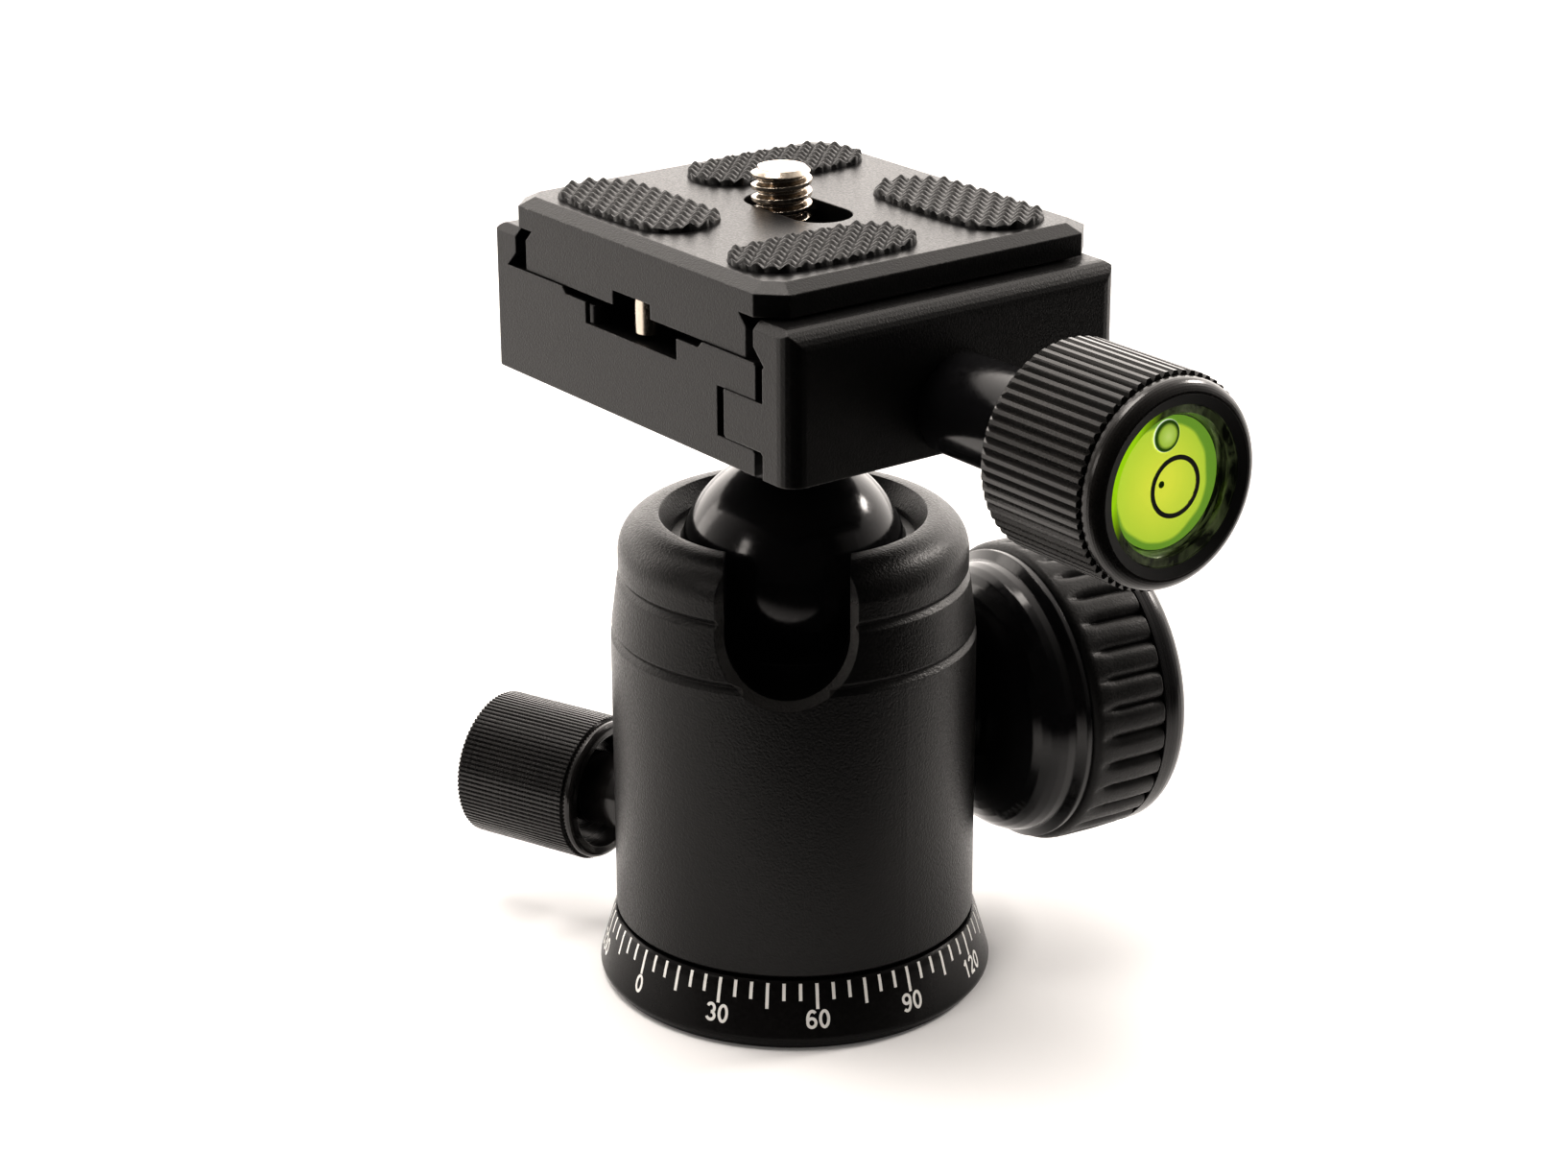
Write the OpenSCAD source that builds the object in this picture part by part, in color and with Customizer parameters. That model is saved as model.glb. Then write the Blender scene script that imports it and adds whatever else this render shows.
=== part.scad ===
// Tripod ball head with a panning base, a drop notch, a dovetail clamp and a quick-release plate.
// Millimetres. The origin is the middle of the base's underside.
// +Z is up and +X points along the clamp's knob.

/* [Pan base] */
// Largest radius of the flared base
base_r = 21.4; // [21:0.1:24]
// Radius of the base's top edge
base_top_r = 19.7; // [19.5:0.1:20.4]
// Radius of the base's underside
base_foot_r = 20.7; // [19.5:0.1:20.9]
// Height of the flared base
base_h = 7.2; // [6.5:0.1:8.5]
// Height of the widest edge above the underside
base_edge_z = 1.5; // [1:0.1:2.5]
// Outer radius of the threaded insert for the tripod's screw
insert_r = 6.4; // [5.6:0.1:7]
// Radius of the insert's thread, at its crests
insert_bore_r = 3.97; // [3.9:0.01:4.76]
// Height of the threaded insert
insert_h = 10.5; // [9:0.5:11]
// Radius of the circle that the spindle's screws lie on
spindle_screw_pcd_r = 9.2; // [8.8:0.1:9.6]
// Number of spindle screws
spindle_screw_n = 3; // [3:1:6]
// Radius of a spindle screw's shank
spindle_screw_r = 1.25; // [1:0.05:1.5]
// Radius of a spindle screw's countersunk head
spindle_head_r = 2.4; // [2:0.1:2.7]

/* [Pan spindle] */
// Radius of the spindle's post
spindle_r = 9.5; // [9.2:0.1:10]
// Radius of the spindle's flange
spindle_flange_r = 12; // [11.6:0.1:12.6]
// Thickness of the spindle's flange
spindle_flange_t = 2; // [1.6:0.1:2.4]
// Height of the spindle's top
spindle_top_z = 17.9; // [17.4:0.1:18.1]
// Depth of the brake groove
brake_groove_d = 1.1; // [0.8:0.1:1.4]
// Thickness of the retaining ring
ring_t = 1; // [0.8:0.1:1.2]
// Outer radius of the retaining ring
ring_r = 11.2; // [10.8:0.1:11.6]
// Depth of the retaining ring's groove
ring_groove_d = 0.9; // [0.6:0.1:1.2]

/* [Housing] */
// Radius of the housing below the grooves
body_r = 19.5; // [19:0.1:19.6]
// Radius of the housing just under the shoulder
neck_r = 18.6; // [18.2:0.1:19]
// Height of the housing's underside
body_z0 = 7.5; // [7.4:0.05:7.8]
// Height of the lip around the ball
lip_z = 52.6; // [52:0.1:53.2]
// Radius of the rounded shoulder
shoulder_r = 4; // [3:0.1:4.4]
// Radius of the lip's inner edge
lip_r = 14.2; // [13.9:0.1:14.4]
// Radius of the throat below the lip
throat_r = 12.95; // [12.8:0.05:13.3]
// Height of the throat
throat_z = 50; // [49.6:0.1:50.4]
// Radius of the bore that holds the cup and the upper ring
cavity_r = 13.7; // [13.6:0.1:14]
// Height of the cavity's lower end
cavity_z = 18.5; // [18.4:0.05:18.8]
// Radius of the bore for the pan bearing
bearing_bore_r = 15.5; // [15:0.1:16]
// Height of the lower groove's middle
groove_low_z = 39.9; // [39.5:0.1:40.6]
// Height of the upper groove's middle
groove_high_z = 46.2; // [45.8:0.1:46.6]
// Half width of a groove
groove_w = 0.6; // [0.4:0.05:0.8]
// Depth of a groove
groove_d = 0.5; // [0.3:0.05:0.7]
// Direction that the drop notch faces, seen from above
notch_az = -39; // [-44:1:-36]
// Half width of the drop notch
notch_r = 6.4; // [6.1:0.1:6.6]
// Height of the centre of the notch's round end
notch_z = 45.1; // [44.8:0.1:45.6]
// Width of the chamfer round the notch
notch_chamfer = 0.9; // [0.5:0.05:1]

/* [Ball] */
// Radius of the ball
ball_r = 12.2; // [12:0.05:12.3]
// Height of the ball's centre
ball_z = 46.9; // [46.7:0.1:47]
// Radius of the stem
stem_r = 5.7; // [5.4:0.1:5.8]
// Height of the top of the lower cup
cup_top_z = 40.6; // [40:0.1:40.8]
// Height of the lower cup's underside
cup_z0 = 31.5; // [31:0.1:32]
// Width of the cup's wedge foot
foot_w = 10; // [8:0.5:12]
// Height of the upper ball ring
upper_ring_h = 2.3; // [1.8:0.1:2.6]

/* [Ball lock] */
// Direction of the ball-lock knob, seen from above
lock_az = 83; // [78:1:88]
// Height of the ball-lock knob's axis
lock_z = 26; // [25.8:0.1:26.4]
// Radius of the lock screw
lock_screw_r = 4; // [3.5:0.1:4]
// Radius of the lock screw's bush
lock_bush_r = 6; // [5.4:0.1:6.6]
// Distance from the pan axis to the bush's inner end
lock_bush_in = 14; // [13.9:0.1:14.6]
// How far the bush stands out of the housing
bush_stand = 0.7; // [0.3:0.1:0.9]
// Gap between the bush and the knob's hub
hub_gap = 0.4; // [0.2:0.1:0.8]
// Length of the hub, up to its polished ring
hub_l = 6.6; // [6:0.1:7.4]
// Radius of the polished ring
hub_ring_r = 16.3; // [15.5:0.1:16.5]
// Radius of the hub where it meets the bush
hub_neck_r = 7.4; // [6.5:0.1:8.5]
// Radius of the core under the rubber grip
hub_core_r = 13.5; // [12.5:0.1:14]
// Length of the rubber grip
grip_l = 9.3; // [8:0.1:10.5]
// Outer radius of the rubber grip
grip_r = 17; // [16.6:0.1:17.6]
// Number of lobes on the rubber grip
grip_lobes = 32; // [24:1:36]
// Thickness of the knob's end cap
cap_t = 3.6; // [3:0.1:4.2]
// Radius of the end cap
cap_r = 16.8; // [16.2:0.1:17.2]
// Slope of the wedge, as rise over run
wedge_slope = 0.25; // [0.2:0.01:0.28]
// Height of the wedge's face on the pan axis
wedge_z = 28.4; // [28.2:0.1:28.6]
// Width of the wedge block
wedge_w = 10; // [8:0.5:11]

/* [Pan lock] */
// Direction of the pan-lock knob, seen from above
pan_az = 201; // [196:1:206]
// Height of the pan-lock knob's axis
pan_z = 14.5; // [14.3:0.1:14.6]
// Radius of the pan screw
pan_screw_r = 3; // [2.5:0.1:3]
// Radius of the brake pad in front of the pan screw
brake_pad_r = 1.7; // [1.4:0.1:1.8]
// Radius of the pan knob
pan_knob_r = 8.2; // [7.5:0.05:8.4]
// Gap between the housing and the pan knob
pan_knob_gap = 5; // [4.8:0.1:6.5]
// Length of the pan knob
pan_knob_l = 16.1; // [12:0.1:17]
// Depth of the dish in the pan knob's inner end
pan_dish_d = 3; // [1.5:0.1:4]
// Radius of the pan knob's hub, which stands in the dish
pan_hub_r = 4.1; // [3.6:0.1:5]
// Gap between the housing and the pan knob's hub
pan_hub_gap = 0.6; // [0.4:0.1:1.5]
// Number of ridges on the pan knob
pan_ridges = 96; // [60:2:110]
// Depth of the pan knob's ridges
pan_ridge_d = 0.22; // [0.15:0.01:0.3]

/* [Clamp] */
// Height of the clamp's underside
clamp_z = 66.65; // [66.6:0.05:67.4]
// Height of the clamp's floor, which the plate lies on
floor_z = 78; // [77.6:0.1:78.2]
// Half length of the clamp along the dovetail
clamp_hy = 20.5; // [19.5:0.1:21.5]
// Half length of the sliding jaw
jaw_hy = 20.6; // [19.5:0.1:21.5]
// Distance from the ball's axis to the fixed jaw's outer face
fixed_face_x = 24.4; // [24.2:0.1:26.5]
// Distance from the ball's axis to the sliding jaw's outer face
jaw_face_x = 27.1; // [26.8:0.1:28]
// Offset of the dovetail's middle from the ball's axis
dovetail_x = 0.5; // [0.4:0.05:0.6]
// Half distance between the jaws' lips
lip_half = 20.9; // [20.6:0.1:21.2]
// Height of the jaws' tops
jaw_top_z = 82.15; // [81.6:0.05:82.2]
// Distance from the ball's axis to the end of the floor
floor_end_x = 21.6; // [21.3:0.1:21.8]
// Distance from the ball's axis to the back of the jaw's slot
slot_back_x = 15.3; // [14.8:0.1:15.6]
// Height of the underside of the jaw's slot
slot_z0 = 69.2; // [69:0.1:69.4]
// Height of the top of the jaw's slot
slot_z1 = 74.3; // [74.1:0.1:74.6]
// Gap left in front of the jaw's faces when the clamp is shut
jaw_gap = 1.2; // [0.6:0.05:1.3]
// Rounding of the sliding jaw's outer edges
jaw_round = 2; // [1:0.1:2.4]
// Rounding of the fixed jaw's upright edges
fixed_round = 0.5; // [0.3:0.1:1]
// Chamfer on the upper end edges of both jaws
jaw_end_chamfer = 0.8; // [0.4:0.1:1]
// Depth of the shallow channel along the floor
channel_d = 0.7; // [0.4:0.1:1]
// Half width of the shallow channel
channel_hw = 11.6; // [10.5:0.1:12.5]
// Height of the floor of the stop pockets
pocket_z = 75.1; // [74.9:0.1:75.4]
// Half width of the stop pockets
pocket_hw = 8; // [6:0.1:8.5]
// Length of the stop pockets
pocket_l = 11; // [9:0.1:11.5]
// Radius of a black stop pin
stop_pin_r = 0.9; // [0.7:0.05:1]
// Radius of a jaw guide pin
guide_r = 1.5; // [1.2:0.05:1.7]
// Distance of the guide pins from the clamp's middle
guide_y = 13; // [11:0.5:15]
// Radius of the bolt that holds the clamp on the stem
bolt_r = 3; // [2.5:0.1:3]
// Radius of the bolt's head
bolt_head_r = 5; // [4.4:0.1:5]
// Height of the bolt's head
bolt_head_h = 4.5; // [3.5:0.1:5]

/* [Clamp knob] */
// Height of the clamp screw's axis
knob_z = 71.5; // [71.3:0.1:71.7]
// Radius of the clamp screw
clamp_screw_r = 3; // [2.5:0.1:3]
// Radius of the sleeve between the jaw and the knob
sleeve_r = 5.2; // [4.6:0.1:6]
// Length of the sleeve
sleeve_l = 15; // [12:0.1:18]
// Radius over the knob's ridges
knob_r = 10.5; // [10:0.1:11.2]
// Length of the ridged part
knob_ridge_l = 14.2; // [12:0.1:14.3]
// Number of ridges on the knob
knob_ridges = 60; // [40:2:72]
// Depth of the knob's ridges
knob_ridge_d = 0.55; // [0.3:0.05:0.7]
// Overall length of the knob
knob_l = 16.2; // [16.1:0.1:18]
// Rounding of the rim round the level
bead_r = 1.35; // [1:0.05:1.4]
// Largest radius of the rim round the level
rim_r = 10.1; // [9.6:0.05:10.2]
// Radius of the level
level_r = 7.75; // [7:0.05:7.8]
// Height of the level
level_h = 6; // [5:0.1:6.5]
// Wall of the level's clear case
level_wall = 1.35; // [1:0.05:1.8]
// Thickness of the clear face over the liquid
level_face_t = 2.6; // [1.2:0.1:3]
// Outer radius of the black circle in the level
level_ring_r = 3; // [2.5:0.1:3.5]
// Width of the black circle's line
level_line = 0.45; // [0.3:0.05:0.8]
// Radius of the bubble in the level
bubble_r = 1.6; // [1.2:0.1:2]

/* [Quick-release plate] */
// Offset of the plate along the dovetail
plate_y = 0.4; // [-4:0.1:4]
// Half width of the plate
plate_hx = 23; // [22.6:0.1:24]
// Half length of the plate along the dovetail
plate_hy = 20.7; // [19.8:0.1:22]
// Thickness of the plate's top slab
slab_t = 3.1; // [2.6:0.1:4]
// Gap between the clamp's floor and the plate
floor_gap = 0.1; // [0.05:0.01:0.2]
// Gap between the jaws' tops and the plate's overhang
overhang_gap = 0.25; // [0.15:0.05:0.5]
// Height of the upright edge of the dovetail's foot
toe_edge_h = 0.45; // [0.35:0.05:0.6]
// Half width of the dovetail's neck
neck_half = 18.1; // [17.9:0.05:18.2]
// Half width of the dovetail's foot
toe_half = 21.95; // [21.7:0.05:22]
// Length of the plate's cut corners
corner_cut = 2.5; // [1:0.1:3]
// Length of the dovetail's cut corners
toe_cut = 2.7; // [1.5:0.1:3.5]
// Width of the chamfer round the plate's top
plate_chamfer_w = 1.65; // [0.8:0.05:2]
// Height of the chamfer round the plate's top
plate_chamfer_h = 0.85; // [0.4:0.05:1.2]
// Half length of the camera screw's slot
screw_slot_hl = 7.1; // [6:0.1:7.5]
// Half width of the camera screw's slot
screw_slot_hw = 3.3; // [3.25:0.05:3.6]
// Depth of the pocket for the camera screw's head
head_pocket_d = 3.2; // [3:0.1:3.6]
// Distance of the stop screws from the plate's middle
stop_screw_y = 18.4; // [17.8:0.1:18.8]
// Radius of a stop screw's head
stop_screw_r = 1.6; // [1.2:0.1:1.8]
// Radius of the pocket round a stop screw
stop_pocket_r = 4; // [3:0.1:4.4]
// Depth of the pocket round a stop screw
stop_pocket_d = 1.5; // [1:0.1:2]

/* [Grip pads] */
// Length of the two pads that lie along X
pad_lx = 21.6; // [18:0.1:22]
// Length of the two pads that lie along Y
pad_ly = 20.6; // [18:0.1:21]
// Width of a grip pad
pad_w = 9.8; // [8:0.1:10.4]
// Distance of the pads along X from the plate's side along X
pad_x_edge = 2.6; // [2.2:0.1:2.8]
// Distance of the pads along X from the plate's side along Y
pad_x_end = 2.7; // [2.4:0.1:3.7]
// Distance of the pads along Y from the plate's side along Y
pad_y_edge = 3.4; // [2.7:0.1:3.7]
// Distance of the pads along Y from the plate's side along X
pad_y_end = 2.4; // [2.2:0.1:2.9]
// Spacing of the pyramid studs
stud_pitch = 1.5; // [1.4:0.05:2.4]
// Height of the pyramid studs
stud_h = 0.7; // [0.5:0.05:1]
// Half width of a stud's flat tip
stud_tip = 0.12; // [0.05:0.01:0.25]
// Height of a pad's edge above the plate
pad_edge_h = 0.25; // [0.1:0.05:0.5]
// Depth of the recess that a pad lies in
pad_recess = 0.5; // [0.3:0.05:0.7]

/* [Camera screw] */
// Radius of the camera screw's thread, at its crests
camera_thread_r = 3.1; // [3:0.01:3.175]
// Height that the camera screw stands above the plate
camera_thread_h = 3.7; // [3:0.1:6]
// Radius of the camera screw's plain shank
camera_shank_r = 2.5; // [2.2:0.05:2.6]
// Radius of the camera screw's head
camera_head_r = 6.1; // [5.4:0.1:6.3]
// Thickness of the camera screw's head
camera_head_t = 1.9; // [1.5:0.1:1.9]
// Distance of the camera screw from the middle of its slot
camera_screw_off = -2.8; // [-3.2:0.1:-1]
// Thickness of the washer that keeps the camera screw in the plate
keeper_t = 0.7; // [0.5:0.05:0.8]

/* [Fits] */
// Gap of a running fit
fit = 0.05; // [0.04:0.005:0.08]
// Gap round a part that passes through freely
clear = 0.2; // [0.15:0.01:0.3]
// Gap round a part that is fixed in its seat
seat_gap = 0.02; // [0.01:0.005:0.03]

/* [Hidden] */

$fn = 96;

black_anodised = "#2a2a2c";
black_gloss = "#151517";
black_rubber = "#1d1d1f";
bright_steel = "#b9b9bb";
brass = "#b59a5a";
nickel = "#c9bfa4";
acetal = "#101012";

// The brake groove is 45 degrees each side, with a flat bottom of this half width.
brake_groove_flat = 0.6;
// The pad's nose has this half width at its end, and its sides are 45 degrees too.
brake_nose_half = 0.45;
brake_pad_t1 = spindle_r + 3.2;
bearing_r = bearing_bore_r - fit;
bearing_z0 = body_z0 + 0.3;
bearing_z1 = cavity_z - 0.1;
flange_top_z = base_h + spindle_flange_t;
ring_z = spindle_top_z - ring_t - 0.4;
ring_recess_z = ring_z - 0.1;
notch_depth = body_r + 5;
// The notch's chamfer cutter reaches this far past the notch's wall and past the skin.
notch_over = 0.8;
shoulder_x = neck_r - shoulder_r;
shoulder_z = lip_z - shoulder_r;
seat_r = ball_r + fit;
cup_r = cavity_r - fit;
// The clamp's bolt ends in the stem, just above the ball.
bolt_end_z = ball_z + ball_r + 1.3;
pan_knob_t0 = body_r + pan_knob_gap;
wedge_t0 = -7;
wedge_t1 = 9;
foot_t1 = 8.6;
wedge_bottom_z = cavity_z + 0.1;
lock_bush_out = body_r + bush_stand;
hub_t0 = lock_bush_out + hub_gap;
hub_ring_t = hub_t0 + hub_l;
grip_t0 = hub_ring_t + 0.7;
cap_t0 = grip_t0 + grip_l;
screw_end_gap = 0.05;
flank_gap = 0.07;
plate_z = floor_z + floor_gap;
overhang_z = jaw_top_z + overhang_gap;
plate_top_z = overhang_z + slab_t;
// On the dovetail's flank, height + distance from the middle is this sum.
flank_sum = plate_z + toe_edge_h + toe_half;
apex_half = flank_sum + flank_gap - floor_z;
lip_z0 = flank_sum + flank_gap - lip_half;
jaw_inner_x = floor_end_x + jaw_gap;
tongue_x = slot_back_x + jaw_gap;
knob_x0 = jaw_face_x + sleeve_l + 0.1;
knob_x1 = knob_x0 + knob_l;
bead_c = rim_r - bead_r;
level_x1 = knob_x1 - 0.3;
level_x0 = level_x1 - level_h;
liquid_r = level_r - level_wall;
liquid_x1 = level_x1 - level_face_t;
clamp_screw_x0 = 8.5;
guide_x0 = 5.5;
guide_x1 = 23;
plate_x = dovetail_x;
camera_x = plate_x + camera_screw_off;
head_z0 = plate_z + 0.25;
head_z1 = head_z0 + camera_head_t;
head_pocket_z = plate_z + head_pocket_d;
pad_z = plate_top_z - pad_recess;
// Where the pads' middles lie, from the plate's middle.
pad_x_along = plate_hx - pad_x_end - pad_lx / 2;
pad_x_across = plate_hy - pad_x_edge - pad_w / 2;
pad_y_along = plate_hy - pad_y_end - pad_ly / 2;
pad_y_across = plate_hx - pad_y_edge - pad_w / 2;
stop_screw_end_z = pocket_z + 0.6;

// Puts the Z axis of its children on a level axis that leaves the pan axis at this angle and height.
module on_axis(az, z) {
    translate([0, 0, z]) rotate([0, 0, az]) rotate([0, 90, 0]) children();
}

// A tube, or a disc if its bore is 0, from z0 to z1.
module tube(z0, z1, r, bore = 0) {
    difference() {
        translate([0, 0, z0]) cylinder(h = z1 - z0, r = r);
        if (bore > 0) translate([0, 0, z0 - 1]) cylinder(h = z1 - z0 + 2, r = bore);
    }
}

// Points of an arc about [cx, cy] from angle a0 to a1.
function arc(cx, cy, r, a0, a1, n) =
    [for (i = [0:n]) [cx + r * cos(a0 + (a1 - a0) * i / n), cy + r * sin(a0 + (a1 - a0) * i / n)]];

// Outline of a ridged round grip with n straight ridges.
module ridges(n, r, depth) {
    step = 360 / n;
    polygon([for (i = [0:n - 1], k = [0:2])
        let (a = step * (i + [0.18, 0.5, 0.82][k]), q = k == 1 ? r - depth : r)
        [q * cos(a), q * sin(a)]]);
}

// A slot with round ends, hl and hw its half length and half width.
module slot(hl, hw) {
    square([2 * (hl - hw), 2 * hw], center = true);
    for (s = [-1, 1]) translate([s * (hl - hw), 0]) circle(r = hw);
}

// A rectangle of half sizes hx and hy with its corners cut at 45 degrees.
module cut_rectangle(hx, hy, c) {
    polygon([[-hx + c, -hy], [hx - c, -hy], [hx, -hy + c], [hx, hy - c],
        [hx - c, hy], [-hx + c, hy], [-hx, hy - c], [-hx, -hy + c]]);
}

module pan_base() {
    color(black_gloss) difference() {
        rotate_extrude() polygon(concat(
            [[0, 0], [base_foot_r, 0]],
            arc(base_r - base_edge_z / 2, base_edge_z / 2 + 0.4, base_edge_z / 2, -50, 15, 5),
            [[base_top_r + 0.25, base_h - 0.9], [base_top_r, base_h - 0.25], [base_top_r - 0.25, base_h],
            [0, base_h]]));
        translate([0, 0, -1]) cylinder(h = base_h + 2, r = insert_r + seat_gap);
        // A shallow ring in the underside leaves a flat land at the rim.
        translate([0, 0, -1]) tube(0, 1.4, base_foot_r - 2.6, insert_r + 5.6);
        for (i = [0:spindle_screw_n - 1]) rotate([0, 0, 360 / spindle_screw_n * i])
            translate([spindle_screw_pcd_r, 0, 0]) spindle_screw_shape(seat_gap, 3);
    }
}

module tripod_insert() {
    color(brass) tube(0, insert_h, insert_r, insert_bore_r);
}

// One countersunk screw, its head flush with the underside.
module spindle_screw_shape(gap, over) {
    translate([0, 0, 0.3]) {
        cylinder(h = spindle_head_r - spindle_screw_r, r1 = spindle_head_r + gap, r2 = spindle_screw_r + gap);
        cylinder(h = flange_top_z - 0.5, r = spindle_screw_r + gap);
    }
    if (over > 0) translate([0, 0, 0.31 - over]) cylinder(h = over, r = spindle_head_r + gap);
}

module spindle_screws() {
    color(bright_steel) for (i = [0:spindle_screw_n - 1]) rotate([0, 0, 360 / spindle_screw_n * i])
        translate([spindle_screw_pcd_r, 0, 0]) difference() {
            spindle_screw_shape(0, 0);
            translate([0, 0, -0.7]) cylinder(h = 1.9, r = spindle_screw_r, $fn = 6);
        }
}

module pan_spindle() {
    color(bright_steel) difference() {
        rotate_extrude() polygon([[0, base_h], [spindle_flange_r, base_h], [spindle_flange_r, flange_top_z],
            [spindle_r, flange_top_z], [spindle_r, pan_z - brake_groove_flat - brake_groove_d],
            [spindle_r - brake_groove_d, pan_z - brake_groove_flat],
            [spindle_r - brake_groove_d, pan_z + brake_groove_flat],
            [spindle_r, pan_z + brake_groove_flat + brake_groove_d],
            [spindle_r, ring_z], [spindle_r - ring_groove_d, ring_z],
            [spindle_r - ring_groove_d, ring_z + ring_t], [spindle_r, ring_z + ring_t],
            [spindle_r, spindle_top_z - 0.2], [spindle_r - 0.2, spindle_top_z], [0, spindle_top_z]]);
        translate([0, 0, base_h - 1]) cylinder(h = insert_h - base_h + 1.1, r = insert_r + seat_gap);
        for (i = [0:spindle_screw_n - 1]) rotate([0, 0, 360 / spindle_screw_n * i])
            translate([spindle_screw_pcd_r, 0, 0]) spindle_screw_shape(seat_gap, 0);
    }
}

module retaining_ring() {
    color(bright_steel) difference() {
        tube(ring_z, ring_z + ring_t, ring_r, spindle_r - ring_groove_d);
        // The ring is open at one side, so that it can be sprung into its groove.
        translate([0, -1.2, ring_z - 1]) cube([ring_r + 1, 2.4, ring_t + 2]);
    }
}

module housing_profile() {
    g = groove_d;
    polygon([[bearing_bore_r, body_z0], [body_r - 0.3, body_z0], [body_r, body_z0 + 0.3],
        [body_r, groove_low_z - groove_w], [body_r - g, groove_low_z],
        [body_r - 0.1, groove_low_z + groove_w], [neck_r + 0.15, groove_high_z - groove_w],
        [neck_r + 0.1 - g, groove_high_z], [neck_r, groove_high_z + groove_w], [neck_r, shoulder_z],
        [shoulder_x, shoulder_z], [shoulder_x, lip_z], [lip_r, lip_z], [throat_r, throat_z + 0.5],
        [throat_r, throat_z], [cavity_r, throat_z], [cavity_r, cavity_z], [bearing_bore_r, cavity_z]]);
    // A quarter of a disc makes the rounded shoulder.
    intersection() {
        translate([shoulder_x, shoulder_z]) circle(r = shoulder_r);
        translate([shoulder_x - 0.3, shoulder_z - 0.3]) square(shoulder_r + 1);
    }
}

// Space of the drop notch, a slot that opens upwards, from the pan axis outwards.
module notch_space(r, bottom_z) {
    on_axis(notch_az, notch_z) {
        cylinder(h = notch_depth, r = r);
        translate([-(lip_z - notch_z + 2), -r, 0]) cube([lip_z - notch_z + 2, 2 * r, notch_depth]);
    }
}

// Radius of the housing's skin at a height, up to the shoulder.
function skin_r(z) = z < groove_low_z ? body_r : z > groove_high_z ? neck_r
    : body_r + (neck_r - body_r) * (z - groove_low_z) / (groove_high_z - groove_low_z);

// Stations round the notch's edge, each the middle height and the outward direction: down one side,
// round the bottom and up the other side.
function notch_stations() = concat(
    [for (z = [lip_z + 2, shoulder_z - 0.15, groove_high_z + 0.4]) [z, -90]],
    [for (a = [-86.25:7.5:86.25]) [notch_z, a]],
    [for (z = [groove_high_z + 0.4, shoulder_z - 0.15, lip_z + 2]) [z, 90]]);

// At each station the cutter is a triangle. Its long side lies at 45 degrees through the skin's edge.
function notch_triangle(z0, a) =
    let (edge = notch_r + notch_chamfer, z = z0 - edge * cos(a), y = edge * sin(a),
        t = sqrt(skin_r(z) * skin_r(z) - y * y))
    [for (p = [[-notch_chamfer - notch_over, 0], [notch_over, 0], [-notch_chamfer - notch_over, 1]])
        [t + (p[1] == 1 ? notch_over : p[0]), (edge + p[0]) * sin(a), z0 - (edge + p[0]) * cos(a)]];

module notch_chamfer_cutter() {
    stations = notch_stations();
    last = len(stations) - 1;
    rotate([0, 0, notch_az]) polyhedron(
        points = [for (s = stations) each notch_triangle(s[0], s[1])],
        faces = concat([[0, 1, 2], [3 * last + 2, 3 * last + 1, 3 * last]],
            [for (i = [0:last - 1], k = [0:2]) let (a = 3 * i + k, b = 3 * i + (k + 1) % 3)
                each [[b, a, a + 3], [b, a + 3, b + 3]]]));
}

module housing() {
    color(black_anodised) difference() {
        rotate_extrude() housing_profile();
        notch_space(notch_r);
        notch_chamfer_cutter();
        on_axis(lock_az, lock_z) {
            translate([0, 0, cavity_r / 2]) cylinder(h = body_r, r = lock_screw_r + 0.1);
            translate([0, 0, lock_bush_in]) cylinder(h = body_r, r = lock_bush_r);
        }
        on_axis(pan_az, pan_z) translate([0, 0, bearing_bore_r / 2])
            cylinder(h = body_r, r = pan_screw_r + clear);
    }
}

module pan_bearing() {
    color(brass) difference() {
        tube(bearing_z0, bearing_z1, bearing_r, spindle_r + fit);
        translate([0, 0, bearing_z0 - 1])
            cylinder(h = flange_top_z - bearing_z0 + 1.1, r = spindle_flange_r + clear);
        translate([0, 0, ring_recess_z]) cylinder(h = 5, r = ring_r + clear);
        // The brake pad's bore opens out where the pan screw starts.
        on_axis(pan_az, pan_z) {
            cylinder(h = brake_pad_t1, r = brake_pad_r + fit);
            translate([0, 0, brake_pad_t1]) cylinder(h = bearing_r, r = pan_screw_r + fit);
        }
    }
}

module upper_ball_ring() {
    color(acetal) difference() {
        translate([0, 0, throat_z - seat_gap - upper_ring_h]) cylinder(h = upper_ring_h, r = cup_r);
        translate([0, 0, ball_z]) sphere(r = seat_r);
        notch_space(notch_r);
    }
}

module lock_bush() {
    color(black_gloss) on_axis(lock_az, lock_z)
        tube(lock_bush_in, lock_bush_out, lock_bush_r, lock_screw_r + fit);
}

// Side view of the wedge's face, from t0 to t1 along the lock axis, with the material above it or below it.
module wedge_side(t0, t1, z_far, gap) {
    polygon([[t0, z_far], [t1, z_far], [t1, wedge_z + gap + wedge_slope * t1],
        [t0, wedge_z + gap + wedge_slope * t0]]);
}

module lower_ball_cup() {
    color(acetal) difference() {
        union() {
            translate([0, 0, cup_z0]) cylinder(h = cup_top_z - cup_z0, r = cup_r);
            rotate([0, 0, lock_az]) rotate([90, 0, 0]) translate([0, 0, -foot_w / 2])
                linear_extrude(height = foot_w) wedge_side(wedge_t0, foot_t1, cup_z0 + 0.5, fit);
        }
        translate([0, 0, ball_z]) sphere(r = seat_r);
    }
}

module lock_wedge() {
    color(bright_steel) rotate([0, 0, lock_az]) rotate([90, 0, 0]) translate([0, 0, -wedge_w / 2])
        linear_extrude(height = wedge_w) wedge_side(wedge_t0, wedge_t1, wedge_bottom_z, 0);
}

module lock_screw() {
    color(bright_steel) on_axis(lock_az, lock_z) {
        tube(wedge_t1 + screw_end_gap, hub_t0 + 9, lock_screw_r);
    }
}

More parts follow.
